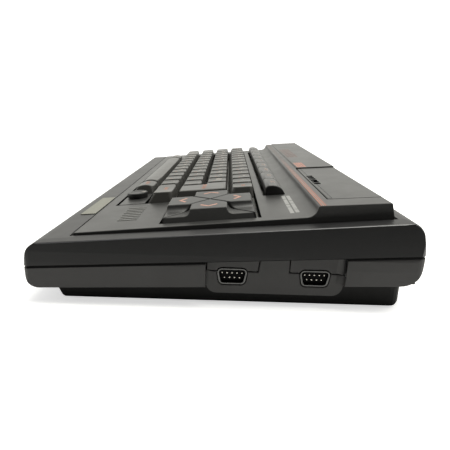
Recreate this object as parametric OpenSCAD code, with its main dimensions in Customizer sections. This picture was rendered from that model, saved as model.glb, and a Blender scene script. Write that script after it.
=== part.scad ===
// Home computer: a wedge-shaped case with a full keyboard, a row of arched function keys, a square block
// of cursor keys, a flat rotary knob, a raised rear deck with a cartridge flap and two nine-pin ports
// in its right side. X runs along the keyboard, +X is the user's right, -Y the front, +Z up.
// The origin is the middle of the footprint, at the underside of the feet.

/* [Case] */
// Width of the case
body_w = 368; // [352:1:450]
// Depth of the case at its seam
body_d = 218; // [210:1:270]
// Wall thickness of the case shells
wall = 2.6; // [1.8:0.1:3.4]
// Height of the seam between the two shells, at mid depth
seam_z = 28.6; // [26:0.1:34]
// Tilt of the seam
seam_tilt = 3.23; // [2:0.1:4]
// Height of the rim round the keyboard, at mid depth
rim_z = 45.2; // [43:0.1:47]
// Tilt of the rim
rim_tilt = 4.72; // [4:0.1:5.4]
// Height of the lower edge of the case sides, at mid depth
belly_z = 13.6; // [12:0.1:15]
// Tilt of that lower edge
belly_tilt = 2.05; // [1.4:0.1:2.6]
// How far the tray under the case is set in from each side
tray_inset = 8; // [6:0.5:12]
// Width of the dark groove round the keyboard panel
groove_w = 1.3; // [1:0.1:2]
// Depth of that groove
groove_d = 1.2; // [0.8:0.1:1.6]

// How far the socket flange stands out at the rear
flange_out = 2; // [1:0.5:4]
// How far the rim falls towards the case's sides
rim_fall = 0.7; // [0:0.1:1.2]

/* [Keyboard panel] */
// Height of the keyboard panel, at mid depth
plate_z = 47.5; // [47:0.1:50]
// Tilt of the keyboard panel
plate_tilt = 5.65; // [5.2:0.05:6.4]
// Thickness of the panel
plate_t = 2.4; // [1.8:0.1:3]
// From the case's side to the panel's side
panel_side = 11; // [9.5:0.5:14]
// From the case's front to the panel's front edge
panel_front = 24.8; // [22:0.2:28]
// From the panel's front corner of the deck to the case's rear
deck_front_back = 57.6; // [54:0.2:64]
// From the rear edge of the deck's top to the case's rear
deck_rear_back = 17.8; // [16:0.2:22]
// Height of the deck's front edge
deck_z = 58.5; // [56:0.1:62]
// Tilt of the deck
deck_tilt = 4.2; // [3:0.1:5]
// How far the deck beside the flap stands over it
deck_step = 0.9; // [0.4:0.1:1.4]

/* [Keys] */
// Distance from key to key
key_pitch = 19.05; // [15.8:0.05:19.4]
// Height of the key tops over the panel
key_h = 6.7; // [5:0.1:8]
// How far a key goes down
key_travel = 3.5; // [2:0.1:4]
// Gap between the skirts of neighbouring keys
key_gap = 0.9; // [0.7:0.1:1.5]
// Radius of a key's round stem
stem_r = 3.5; // [2.5:0.1:3.6]
// Radial clearance of a stem in its guide
stem_play = 0.05; // [0.03:0.01:0.1]
// From the case's right side to the right end of the key rows
keys_right = 73; // [71:0.5:80]
// From the case's front to the front edge of the key well
well_front = 32.2; // [31:0.2:36]
// Width of the cursor block, along X
cursor_w = 51.4; // [44:0.2:52]
// Length of the cursor block, along the panel's slope
cursor_l = 55; // [48:0.2:56]
// Number of function keys
fn_count = 9; // [9:1:9]
// Length of the row of function keys
fn_l = 262.4; // [220:0.2:264]
// Width of a function key, along the slope
fn_w = 13; // [11:0.1:13]
// Diameter of the rotary knob
knob_d = 15; // [13:0.1:17]

/* [Cartridge bay] */
// Length of the cartridge flap
flap_l = 114.4; // [100:0.2:120]
// From the case's right side to the flap
flap_right = 27; // [26:0.5:40]
// From the case's rear to the front edge of the flap
flap_front_back = 49.2; // [47:0.2:52]
// Gap round the flap
flap_gap = 0.7; // [0.6:0.1:1]
// Radius of the flap's hinge pin
pin_r = 1.5; // [1:0.1:1.8]
// Radial clearance of the flap on its pin
pin_play = 0.05; // [0.03:0.01:0.1]

/* [Ports] */
// Height of the middle of the nine-pin ports
port_z = 18.9; // [18:0.1:19.6]
// From mid depth to the middle of the front port
port_y = 4.3; // [3:0.1:7]
// Distance between the two ports
port_step = 45.8; // [42:0.1:48]
// Width of a port's shell
port_w = 17.4; // [16:0.1:18]
// Height of a port's shell
port_h = 9.4; // [8.6:0.1:10]
// How deep the port panel lies in the case's side
port_inset = 4; // [3:0.1:5]

/* [Feet and screws] */
// Height of the rubber feet
foot_h = 1.5; // [1:0.1:3]
// Radius of a foot
foot_r = 7; // [5:0.5:9]
// Radius of the case screws' shanks
screw_r = 1.5; // [1.2:0.1:1.7]

/* [Hidden] */

$fn = 32;
eps = 0.01;
half_w = body_w / 2;
front = -(body_d + flange_out) / 2;
rear = front + body_d;

// Sloping planes of the case, each as a height over the floor at depth y
function seam(y) = seam_z + y * tan(seam_tilt);
function rim(y) = rim_z + y * tan(rim_tilt);
function belly(y) = belly_z + y * tan(belly_tilt);
function plate(y) = plate_z + y * tan(plate_tilt);
function deck(y) = deck_z + (y - deck_front) * tan(deck_tilt);

// Points of the arc of radius r that rounds the corner b between a and c
function fillet(a, b, c, r, n = 8) = let (
    u = (a - b) / norm(a - b), w = (c - b) / norm(c - b), half = acos(u * w) / 2,
    o = b + (u + w) / norm(u + w) * r / sin(half),
    p = b + u * r / tan(half) - o, q = b + w * r / tan(half) - o,
    a0 = atan2(p[1], p[0]), turn = ((atan2(q[1], q[0]) - a0 + 540) % 360) - 180)
    [for (i = [0:n]) o + r * [cos(a0 + turn * i / n), sin(a0 + turn * i / n)]];

// A rectangle with rounded corners, as points
function round_rect(x0, y0, x1, y1, r) = let (c = [[x0, y0], [x1, y0], [x1, y1], [x0, y1]])
    [for (i = [0:3]) each fillet(c[(i + 3) % 4], c[i], c[(i + 1) % 4], r, 5)];

// A [Y, Z] outline drawn out along X, from x0 to x1
module along_x(x0, x1) translate([x0, 0, 0]) rotate([90, 0, 90]) linear_extrude(x1 - x0) children();
module block(x0, y0, z0, x1, y1, z1) translate([x0, y0, z0]) cube([x1 - x0, y1 - y0, z1 - z0]);

// The panel's own frame: x along the keys, s up the slope, n square to the panel
module on_plate() translate([0, 0, plate_z]) rotate([plate_tilt, 0, 0]) children();
function slope_of(y) = y / cos(plate_tilt);

// ---------------------------------------------------------------- case shells
case_r = 5;
lean_front = 2.7;
lean_rear = 4.2;
nose_r = 10;
tail_r = 8.5;
chin_r = 7.5;
heel_r = 12;
draft_up = 1.5;
draft_down = 1;

function upper_outline(t) = let (
    a = [front + t, seam(front) - t * 3], b = [front + lean_front + t, rim(front) - t],
    c = [rear - lean_rear - t, rim(rear - lean_rear) - t], d = [rear - t, seam(rear) - t * 3])
    concat([a], fillet(a, b, c, nose_r - t), fillet(b, c, d, tail_r - t), [d]);
function lower_outline(t) = let (
    a = [front + t, seam(front) + t * 3], d = [rear - t, seam(rear) + t * 3],
    e = [rear - t, belly(rear) + t], f = [front + t, belly(front) + t])
    concat([d], fillet(d, e, f, heel_r - t), fillet(e, f, a, chin_r - t), [a]);

module plan(t) linear_extrude(80)
    polygon(round_rect(-half_w + t, front - 1 + t, half_w - t, rear + 1 - t, case_r));
// Front view of the case: the sides lean in over and under the seam
module front_view() rotate([90, 0, 0]) linear_extrude(body_d + 20, center = true)
    polygon([for (s = [-1, 1], q = s < 0 ? [[draft_down, 0], [0, seam_z - 3], [0, seam_z + 3], [draft_up, 62]]
        : [[draft_up, 62], [0, seam_z + 3], [0, seam_z - 3], [draft_down, 0]]) [s * (half_w - q[0]), q[1]]]);

// The rim falls a little over its outer strip on both sides
module crown() translate([0, 0, rim_z]) rotate([90 + rim_tilt, 0, 0]) linear_extrude(body_d * 2, center = true)
    polygon([[-half_w - 1, -70], [half_w + 1, -70], [half_w + 1, -rim_fall * 1.12], [half_w - 9.5, 0.02],
        [half_w - 9.6, 40], [9.6 - half_w, 40], [9.5 - half_w, 0.02], [-half_w - 1, -rim_fall * 1.12]]);

// The keyboard panel's place in the case
panel_x = half_w - panel_side;
panel_y0 = front + panel_front;
deck_front = rear - deck_front_back;
deck_rear = rear - deck_rear_back;
panel_y1 = deck_rear + 2.3;
ledge_w = 3.5;
ledge_y = 2.3;

// Case screws: a front row and a rear row
boss_r = 3.6;
screw_head_r = 2.7;
screw_x = half_w - 20;
screw_front = front + 22.5;
screw_rear = rear - 14.5;
boss_at = [[-screw_x, screw_front], [0, screw_front], [screw_x, screw_front],
    [-screw_x, screw_rear], [-52, screw_rear], [screw_x, screw_rear]];
function boss_z(p) = seam(p[1]) - 1;

tray_x = half_w - tray_inset;
tray_front = front + 17.6;
tray_rear = rear - 6.2;
floor_z = foot_h + wall;
function tray_outline(t) = let (
    a = [tray_front - 5.6 + t, belly(tray_front) + wall + 1], b = [tray_front + t * 0.6, foot_h + t],
    c = [tray_rear - t, foot_h + t], d = [tray_rear - t, belly(rear) + wall + 2])
    concat([a], fillet(a, b, c, 3), fillet(b, c, d, 5 - t), [d]);
// Flat rear wall below the seam, and the recess in it for the sockets
rear_x = half_w - 12;
rear_low = foot_h + 13.5;
recess_x0 = -45;
recess_x1 = 150;
recess_z0 = rear_low + 1.8;
recess_z1 = seam(rear) - 3.2;
recess_y = rear - 8;

// Port panel: sunk into the right side, it reaches down over the tray
ports_x = half_w - port_inset;
ports_y0 = port_y - 14.5;
ports_y1 = port_y + port_step + 15.9;
ports_low = foot_h + 7.2;
tongue_z = foot_h + 20.2;
tongue_in = 13.6;
port_ys = [port_y, port_y + port_step];
port_fit = 0.45;

// The recess ends towards the rear in a concave sweep of this radius
sweep_r = 4;
module sweep(z0, z1) translate([ports_x, ports_y1, z0]) linear_extrude(z1 - z0)
    polygon(concat([[-0.5, eps], [-0.5, -sweep_r]], [for (i = [0:8]) let (a = 90 * i / 8)
        [sweep_r * (1 - cos(a)), sweep_r * (sin(a) - 1)]], [[sweep_r, eps]]));

// The D-shaped outline of a nine-pin port, wide side up, grown by g
function port_outline(g) = let (w = port_w / 2 + g, h = port_h / 2 + g, d = port_h * tan(10))
    [for (i = [0:3]) let (c = [[-w, h], [w, h], [w - d, -h], [d - w, -h]])
        each fillet(c[(i + 3) % 4], c[i], c[(i + 1) % 4], 2.6 + g, 5)];
module port_prism(g, x0, x1) for (y = port_ys) along_x(x0, x1) translate([y, port_z]) polygon(port_outline(g));
// The two tongues of the upper shell that close the notches over the ports, shrunk by g
function tongues(g) = let (
    l1 = port_y + tongue_in + 0.8, r0 = port_y + port_step - tongue_in - 0.6)
    [[[ports_y0 + g, tongue_z + g], [l1 - g, tongue_z + g], [l1 + 1.2 - g, seam(l1) + 1], [ports_y0 + g, seam(l1) + 1]],
     [[r0 + g, tongue_z + g], [ports_y1 - g, tongue_z + g], [ports_y1 - g, seam(r0) + 1], [r0 + g, seam(r0) + 1]]];

module top_case() color([0.16, 0.16, 0.165]) {
    difference() {
        union() {
            difference() {
                intersection() {
                    along_x(-half_w, half_w) polygon(upper_outline(0));
                    plan(0);
                    front_view();
                    crown();
                }
                intersection() {
                    along_x(-half_w + wall, half_w - wall) polygon(upper_outline(wall));
                    plan(wall);
                }
            }
            // Shelf under the rim that carries the keyboard panel
            intersection() {
                along_x(-half_w + 1, half_w - 1) polygon([[panel_y0 - 6, rim(panel_y0 - 6) - 5.5],
                    [panel_y1 + 5, rim(panel_y1 + 5) - 5.5], [panel_y1 + 5, rim(panel_y1 + 5) - 1],
                    [panel_y0 - 6, rim(panel_y0 - 6) - 1]]);
                plan(1);
            }
            for (p = boss_at) translate([p[0], p[1], boss_z(p)]) cylinder(r = boss_r, h = rim(p[1]) - 2 - boss_z(p));
            // Bridges that carry the tongues over the ports
            along_x(ports_x - 2.4, half_w - 1.5) polygon([[ports_y0 + 0.35, seam(ports_y0) + 0.1],
                [ports_y1 - 0.35, seam(ports_y1) + 0.1], [ports_y1 - 0.35, seam(ports_y1) + 2.4],
                [ports_y0 + 0.35, seam(ports_y0) + 2.4]]);
            for (t = tongues(0.35)) along_x(ports_x - 2.4, ports_x) polygon(t);
            intersection() {
                translate([0, -0.35, 0]) sweep(tongue_z + 0.35, seam(ports_y1) + 1);
                front_view();
            }
        }
        // Hole for the keyboard panel, and the groove round it
        block(-panel_x + ledge_w, panel_y0 + ledge_y, 20, panel_x - ledge_w, panel_y1 - 3.7, 80);
        along_x(-panel_x - groove_w, panel_x + groove_w) polygon([
            [panel_y0 - groove_w, rim(panel_y0 - groove_w) - groove_d], [panel_y1 + 1, rim(panel_y1 + 1) - groove_d],
            [panel_y1 + 1, rim(panel_y1 + 1) + 4], [panel_y0 - groove_w, rim(panel_y0 - groove_w) + 4]]);
        for (p = boss_at) translate([p[0], p[1], boss_z(p) - 1]) cylinder(r = screw_r + 0.02, h = 9);
        // Bed of the name plate
        plate_bed(0);
        port_prism(port_fit, ports_x - 6, half_w + 1);
    }
}

// Plain name plate on the front rim
name_l = 49;
name_w = 10.1;
name_x = half_w - 80.3;
name_y = front + 18.1;
name_t = 0.7;
module plate_bed(g) translate([name_x, name_y, rim(name_y)]) rotate([rim_tilt, 0, 0])
    translate([-name_l / 2 + g, -name_w / 2 + g, -0.45]) cube([name_l - 2 * g, name_w - 2 * g, name_t]);
module name_plate() color([0.62, 0.66, 0.62]) plate_bed(0.1);

module bottom_case() color([0.14, 0.14, 0.145]) difference() {
    union() {
        difference() {
            union() {
                intersection() {
                    union() {
                        along_x(-half_w, half_w) polygon(lower_outline(0));
                        block(-rear_x, rear - 20, rear_low, rear_x, rear, seam(rear - 20));
                    }
                    along_x(-half_w, half_w) polygon([[front, 0], [rear, 0], [rear, seam(rear)], [front, seam(front)]]);
                    plan(0);
                    front_view();
                }
                block(-rear_x, rear - 3, rear_low - 1.6, rear_x, rear + flange_out, seam(rear) - 1.6);
                intersection() {
                    along_x(-tray_x, tray_x) polygon(tray_outline(0));
                    linear_extrude(60) polygon(round_rect(-tray_x, front, tray_x, tray_rear, 7));
                }
            }
            intersection() {
                union() {
                    along_x(-half_w + wall, half_w - wall) polygon(lower_outline(wall));
                    block(-rear_x + wall, rear - 22, rear_low + wall, rear_x - wall, rear - wall, 60);
                }
                plan(wall);
            }
            along_x(-tray_x + wall, tray_x - wall) polygon(tray_outline(wall));
            // Thin shadow line just under the seam
            difference() {
                along_x(-half_w - 1, half_w + 1) polygon([[front - 1, seam(front) - 0.7], [rear + 1, seam(rear) - 0.7],
                    [rear + 1, seam(rear) + 1], [front - 1, seam(front) + 1]]);
                intersection() {
                    plan(0.7);
                    block(-half_w, front + 0.7, 0, half_w, rear - 0.7, 60);
                }
            }
            // Recess for the port panel in the right side
            along_x(ports_x, half_w + 1) polygon([[ports_y0, 0], [ports_y1, 0], [ports_y1, seam(ports_y1) + 1],
                [ports_y0, seam(ports_y0) + 1]]);
            // Recess for the rear sockets
            block(recess_x0, recess_y, recess_z0, recess_x1, rear + flange_out + 1, recess_z1);
        }
        // Port panel
        along_x(tray_x - wall - 0.5, ports_x) polygon(concat(
            fillet([ports_y0, seam(ports_y0)], [ports_y0, ports_low], [ports_y1, ports_low], 6),
            fillet([ports_y0, ports_low], [ports_y1, ports_low], [ports_y1, seam(ports_y1)], 6),
            [[ports_y1, seam(ports_y1)], [ports_y0, seam(ports_y0)]]));
        intersection() {
            sweep(ports_low, tongue_z);
            front_view();
            along_x(-half_w, half_w) polygon(lower_outline(0));
        }
        for (y = [ports_y0 - wall, ports_y1]) along_x(ports_x - wall, half_w - wall + 0.5)
            polygon([[y, belly(y) + 0.5], [y + wall, belly(y) + 0.5], [y + wall, seam(y)], [y, seam(y)]]);
        // Walls of the rear recess
        difference() {
            block(recess_x0 - 2, recess_y - 2, recess_z0 - 1.5, recess_x1 + 2, rear - 1, recess_z1 + 1.5);
            block(recess_x0, recess_y, recess_z0, recess_x1, rear + flange_out + 1, recess_z1);
        }
        for (p = boss_at) translate([p[0], p[1], foot_h + 0.5]) cylinder(r = boss_r, h = boss_z(p) - foot_h - 0.5);
        for (p = board_at) translate([p[0], p[1], foot_h + 1]) cylinder(r = 3, h = board_z - foot_h - 1);
    }
    // Room behind the port panel for the sockets' flanges
    for (y = port_ys) block(tray_x - wall - 2, y - 16.2, port_z - 6.6, ports_x - 2.4, y + 16.2, 60);
    along_x(ports_x - 6, half_w + 1) for (t = tongues(0)) polygon([t[0], t[1], t[2], t[2] + [0, 9], t[3] + [0, 9]]);
    port_prism(port_fit, ports_x - 6, half_w + 1);
    for (p = boss_at) translate([p[0], p[1], 0]) {
        cylinder(r = screw_r + 0.3, h = 60);
        cylinder(r = screw_head_r + 0.3, h = foot_h + 3);
    }
    for (p = board_at) translate([p[0], p[1], board_z - 6]) cylinder(r = 1.22, h = 9);
    // Seats of the feet
    for (p = foot_at) translate([p[0], p[1], foot_h - 1]) cylinder(r = foot_r + 0.1, h = 1.6);
    // Cooling slots in the floor
    for (i = [0:11], y = [rear - 66, rear - 36]) block(-half_w + 40 + i * 9, y, 0, -half_w + 43 + i * 9, y + 22, floor_z + 1);
    // Openings of the rear sockets
    for (x = phono_x) translate([x, recess_y - 4, socket_z]) rotate([-90, 0, 0]) cylinder(r = jack_r + 0.45, h = 6);
    for (x = round_x) translate([x, recess_y - 4, socket_z]) rotate([-90, 0, 0]) cylinder(r = round_r + 0.3, h = 6);
    block(printer_x - printer_l / 2 - 0.4, recess_y - 4, socket_z - 5.4, printer_x + printer_l / 2 + 0.4, recess_y + 2,
        socket_z + 5.4);
    block(inlet_x - 11.3, rear - 4, socket_z - 6.3, inlet_x + 11.3, rear + flange_out + 1, socket_z + 6.3);
    block(switch_x - 10.3, rear - 4, switch_low - 0.3, switch_x + 10.3, rear + flange_out + 1, socket_z + 6.8);
}

foot_at = [for (x = [-half_w + 34, half_w - 34], y = [front + 38, rear - 26]) [x, y]];
module rubber_feet() color([0.06, 0.06, 0.06]) for (p = foot_at)
    translate([p[0], p[1], 0]) cylinder(r = foot_r, h = foot_h + 0.6);

module screw(r, head_r, head_h, l) {
    difference() {
        cylinder(r = head_r, h = head_h);
        for (a = [0, 90]) rotate(a) translate([-head_r * 0.6, -0.3, -1]) cube([head_r * 1.2, 0.6, 1.8]);
    }
    translate([0, 0, head_h - eps]) cylinder(r = r, h = l + eps);
}
module case_screws() color([0.6, 0.6, 0.62]) for (p = boss_at)
    translate([p[0], p[1], foot_h + 1]) screw(screw_r, screw_head_r, 2, boss_z(p) + 6 - foot_h - 3);

// ---------------------------------------------------------------- keyboard
key_x = half_w - keys_right;
well_gap = 0.9;
row_s0 = slope_of(front + well_front) + 2.3 + key_pitch * 4.5;
function key_s(k) = row_s0 - k * key_pitch;
function unit_x(u) = key_x - u * key_pitch;
row_units = 14;
// How far a key's top is set back from its front edge, row by row
top_in_front = [3.7, 3.7, 4.4, 4.5, 4.5];
key_low = -1.2;
top_in_x = 1.9;
top_in_rear = 0.4;
cap_t = 1.2;
stem_low = -13.2;
frame_top = -9.9;
frame_t = 1.6;
guide_top = -5.4;
guide_r = stem_r + 1.1;
board_top = stem_low - key_travel - 0.3;
mat_top = board_top + 0.6;
kb_board_t = 1.6;

// Key cells as [low unit, high unit] from the right end
code_u = [1.75, 3];
space_u = [3, 11];
graph_u = [11, 12.25];
number_first = 1;
upper_first = 1.5;
home_first = 1.25;
lower_first = 1.75;
function middle(u) = unit_x((u[0] + u[1]) / 2);
space_stems = [for (u = [space_u[0] + 1.2, (space_u[0] + space_u[1]) / 2, space_u[1] - 1.2]) [unit_x(u), key_s(4)]];
return_stem = [unit_x(0.66), key_s(1.5)];
function run_stems(first, count, k) = [for (i = [0:count - 1]) [unit_x(first + 0.5 + i), key_s(k)]];
run_counts = [13, 11, 11, 10];
run_firsts = [number_first, upper_first, home_first, lower_first];

cursor_c = [half_w - 44.6, slope_of(front + 100.3)];
cursor_gap = 0.9;
arm = 11;
cursor_dirs = [[0, 1], [0, -1], [-1, 0], [1, 0]];
function cursor_stem(d) = cursor_c + [d[0] * (cursor_w / 2 - 8.6), d[1] * (cursor_l / 2 - 9)];

fn_x1 = key_x;
fn_s0 = slope_of(rear - 82.3) + 1.2;
fn_pitch = fn_l / fn_count;
fn_h = 6.6;
fn_low = -1.4;
function fn_stem(i) = [fn_x1 - fn_pitch * (i - 0.5), fn_s0 + fn_w * 0.45];

stems = concat([[unit_x(0.5), key_s(0)], [unit_x(13.25), key_s(1)], [unit_x(13.125), key_s(2)],
    [unit_x(0.875), key_s(3)], [unit_x(12.875), key_s(3)], return_stem], space_stems,
    [for (u = [code_u, graph_u]) [middle(u), key_s(4)]],
    [for (k = [0:3]) each run_stems(run_firsts[k], run_counts[k], k)],
    [for (d = cursor_dirs) cursor_stem(d)], [for (i = [1:fn_count]) fn_stem(i)]);

// Screws that hold the keyboard under the panel
kb_left = -half_w + 20;
kb_screw_at = [[half_w - 34, slope_of(front + 50)], [half_w - 44, slope_of(rear - 76)],
    [kb_left, slope_of(front + 50)], [kb_left, slope_of(0)], [kb_left, slope_of(rear - 75)],
    [60, slope_of(front + 29.3)], [-60, slope_of(front + 29.3)]];

// Wells in the panel, grown by g: key rows, cursor block and function keys
module wells(g, n0, n1) {
    block(unit_x(row_units) - well_gap - g, key_s(3.5) - 0.5 - g, n0, key_x + well_gap + g, key_s(-0.5) + 0.7 + g, n1);
    block(unit_x(graph_u[1]) - well_gap - g, key_s(4.5) - 2.3 - g, n0, key_x + well_gap + g, key_s(3), n1);
    block(key_x - 5, cursor_c[1] - cursor_l / 2 - 1 - g, n0, cursor_c[0] + cursor_w / 2 + 1 + g,
        max(key_s(-0.5) + 0.7, cursor_c[1] + cursor_l / 2 + 1) + g, n1);
    block(fn_x1 - fn_l - well_gap - g, fn_s0 - 1.6 - g, n0, fn_x1 + 0.6 + g, fn_s0 + fn_w + 0.5 + g, n1);
}

// Flap over the cartridge slot and its hinge
flap_x1 = half_w - flap_right;
flap_x0 = flap_x1 - flap_l;
flap_y0 = rear - flap_front_back;
flap_t = 2.2;
flap_low = deck(flap_y0) - flap_t - 0.4;
hinge_y = deck_rear - 5;
hinge_z = deck(hinge_y) - 5;
knuckle_r = 2.8;
lug_w = 3.6;

step_y = flap_y0 - flap_gap;

valley = [deck_front - 1.2, plate(deck_front - 1.2)];
panel_top = concat([[panel_y0, rim(panel_y0) - groove_d], [panel_y0, plate(panel_y0) - 0.6],
    [panel_y0 + 0.6, plate(panel_y0 + 0.6)]],
    fillet([panel_y0, plate(panel_y0)], valley, [deck_front, deck_z], 6.2),
    [[deck_front, deck_z - 0.5], [deck_front + 0.6, deck(deck_front + 0.6)], [deck_rear - 0.6, deck(deck_rear - 0.6)],
    [deck_rear, deck(deck_rear) - 0.6], [panel_y1, rim(panel_y1) - groove_d]]);
panel_hollow = [[panel_y0 + 2.2, plate(panel_y0) - 20], [panel_y0 + 2.2, plate(panel_y0 + 2.2) - plate_t],
    [deck_front + 2, plate(deck_front + 2) - plate_t], [deck_front + 2.4, deck(deck_front) - flap_t],
    [deck_rear - 2.4, deck(deck_rear - 2.4) - flap_t], [panel_y1 - 2.2, rim(panel_y1) - 20]];
module keyboard_panel() color([0.17, 0.17, 0.175]) {
    difference() {
        union() {
            difference() {
                along_x(-panel_x, panel_x) polygon(panel_top);
                along_x(-panel_x + 2.2, panel_x - 2.2) polygon(panel_hollow);
            }
            // The deck is a little higher beside the flap
            along_x(-panel_x, flap_x0 - flap_gap) polygon([[step_y, deck(step_y) - 1],
                [step_y, deck(step_y) + deck_step - 0.3], [step_y + 0.3, deck(step_y + 0.3) + deck_step],
                [deck_rear - 0.6, deck(deck_rear - 0.6) + deck_step],
                [deck_rear, deck(deck_rear) + deck_step - 0.6], [deck_rear, deck(deck_rear) - 1]]);
            on_plate() difference() {
                wells(1.4, -7, -0.5);
                wells(0, -8, 1);
            }
            on_plate() for (p = kb_screw_at) translate([p[0], p[1], frame_top])
                cylinder(r = 2.2, h = -frame_top - 1);
            // Lugs that hold the hinge pin
            for (x = [flap_x0 - flap_gap - 0.2 - lug_w, flap_x1 + flap_gap + 0.2])
                block(x, hinge_y - 3.2, hinge_z - 3, x + lug_w, hinge_y + 3.4, deck(hinge_y) - 1);
        }
        on_plate() {
            wells(0, -3.5, 3);
            for (p = kb_screw_at) translate([p[0], p[1], frame_top - 1]) cylinder(r = 1.22, h = 6);
        }
        block(flap_x0 - flap_gap, flap_y0 - flap_gap, flap_low, flap_x1 + flap_gap, rear, 80);
        translate([flap_x0 - flap_gap - lug_w - 0.3, hinge_y, hinge_z]) rotate([0, 90, 0])
            cylinder(r = pin_r + 0.02, h = flap_l + 2 * (flap_gap + lug_w + 0.3));
    }
}

module cartridge_flap() color([0.17, 0.17, 0.175]) difference() {
    union() {
        along_x(flap_x0, flap_x1) polygon([[flap_y0, deck(flap_y0) - flap_t], [flap_y0, deck(flap_y0) - 0.3],
            [flap_y0 + 0.3, deck(flap_y0)], [deck_rear - 0.6, deck(deck_rear - 0.6)],
            [deck_rear, deck(deck_rear) - 0.6], [deck_rear + 0.8, flap_low + 0.5], [deck_rear - 1.2, flap_low + 0.5],
            [deck_rear - 1.8, deck(deck_rear) - flap_t]]);
        for (x = knuckle_x) {
            translate([x, hinge_y, hinge_z]) rotate([0, 90, 0]) cylinder(r = knuckle_r, h = knuckle_l);
            block(x, hinge_y - 2, hinge_z, x + knuckle_l, hinge_y + 2, deck(hinge_y) - 1);
        }
    }
    translate([flap_x0 - 1, hinge_y, hinge_z]) rotate([0, 90, 0]) cylinder(r = pin_r + pin_play, h = flap_l + 2);
    // Finger dip in the middle of the front edge
    translate([(flap_x0 + flap_x1) / 2, flap_y0 - 1, deck(flap_y0) + 19.2]) rotate([-70, 0, 0])
        cylinder(r = 20, h = 6, center = true, $fn = 96);
}
knuckle_l = 11;
knuckle_x = [flap_x0 + 2, flap_x0 + flap_l / 2 - 19, flap_x0 + flap_l / 2 + 8, flap_x1 - 2 - knuckle_l];
module flap_pin() color([0.7, 0.7, 0.72]) translate([flap_x0 - flap_gap - lug_w, hinge_y, hinge_z])
    rotate([0, 90, 0]) cylinder(r = pin_r, h = flap_l + 2 * flap_gap + 2 * lug_w);

// Torsion spring round the hinge pin, with one straight leg under the flap
coil_r = pin_r + 0.75;
wire_r = 0.3;
coil_turns = 8;
coil_steps = 16;
coil_x = flap_x0 + flap_l / 2 - 5.6;
coil_path = concat([[0, -12, coil_r - 1.2]], [for (i = [0:coil_turns * coil_steps]) let (a = 360 * i / coil_steps)
    [i / coil_steps * 1.3, -coil_r * sin(a), coil_r * cos(a)]]);
function ring_at(path, i, sides, r) = let (
    a = path[max(i - 1, 0)], b = path[min(i + 1, len(path) - 1)], t = (b - a) / norm(b - a),
    u = cross(t, [1, 0, 0.01]) / norm(cross(t, [1, 0, 0.01])), v = cross(t, u))
    [for (k = [0:sides - 1]) path[i] + r * (cos(360 * k / sides) * u + sin(360 * k / sides) * v)];
module tube(path, r, sides) {
    n = len(path);
    points = [for (i = [0:n - 1]) each ring_at(path, i, sides, r)];
    polyhedron(points, concat(
        [for (i = [0:n - 2], k = [0:sides - 1], h = [0, 1]) let (a = i * sides + k, b = i * sides + (k + 1) % sides)
            h == 0 ? [a, b, b + sides] : [a, b + sides, a + sides]],
        [for (k = [1:sides - 2]) [0, k + 1, k]],
        [for (k = [1:sides - 2]) [(n - 1) * sides, (n - 1) * sides + k, (n - 1) * sides + k + 1]]));
}
module flap_spring() color([0.75, 0.75, 0.76]) translate([coil_x, hinge_y, hinge_z]) tube(coil_path, wire_r, 6);

module slotted_plate(n0, t, hole, post) {
    x1 = cursor_c[0] + cursor_w / 2 - 2;
    difference() {
        block(kb_left - 5, slope_of(front + 27.4), n0, x1, slope_of(rear - 66), n0 + t);
        for (p = stems) translate([p[0], p[1], n0 - 1]) cylinder(r = hole, h = t + 2);
        for (p = kb_screw_at) translate([p[0], p[1], n0 - 1]) cylinder(r = post, h = t + 2);
    }
}
module keyboard_frame() color([0.7, 0.7, 0.72]) on_plate() difference() {
    union() {
        slotted_plate(frame_top - frame_t, frame_t, stem_r + stem_play, 1.5);
        for (p = stems) translate([p[0], p[1], frame_top - frame_t]) cylinder(r = guide_r, h = guide_top - frame_top + frame_t);
        for (p = kb_screw_at) translate([p[0], p[1], mat_top]) cylinder(r = 3, h = frame_top - mat_top - 0.5);
    }
    for (p = stems) translate([p[0], p[1], -14]) cylinder(r = stem_r + stem_play, h = 12);
    for (p = kb_screw_at) translate([p[0], p[1], -20]) cylinder(r = 1.5, h = 12);
}
// Rubber mat with a collar round each stem's end
module dome_mat() color([0.75, 0.75, 0.7]) on_plate() {
    difference() {
        union() {
            slotted_plate(board_top, mat_top - board_top, stem_r + 0.6, 1.5);
            for (p = stems) translate([p[0], p[1], board_top]) cylinder(r = stem_r + 1.8, h = 3);
        }
        for (p = stems) translate([p[0], p[1], -20]) cylinder(r = stem_r + 0.6, h = 12);
    }
}
module keyboard_board() color([0.2, 0.4, 0.25]) on_plate() difference() {
    block(kb_left - 5, slope_of(front + 27.4), board_top - kb_board_t, cursor_c[0] + cursor_w / 2 - 2,
        slope_of(rear - 66), board_top);
    for (p = kb_screw_at) translate([p[0], p[1], -20]) cylinder(r = 1.5, h = 4);
}
module keyboard_screws() color([0.6, 0.6, 0.62]) on_plate() for (p = kb_screw_at)
    translate([p[0], p[1], board_top - kb_board_t - 1.6]) screw(1.2, 2.4, 1.6, 12);

// A block whose four sides lean in, by in_x to the left and right, in_f at the front and in_r at the rear
module frustum(x0, x1, s0, s1, n0, n1, in_x, in_f, in_r) intersection() {
    rotate([90, 0, 0]) translate([0, 0, -s1 - 1]) linear_extrude(s1 - s0 + 2)
        polygon([[x0, n0], [x1, n0], [x1 - in_x, n1], [x0 + in_x, n1]]);
    along_x(x0 - 1, x1 + 1) polygon([[s0, n0], [s1, n0], [s1 - in_r, n1], [s0 + in_f, n1]]);
}
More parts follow.
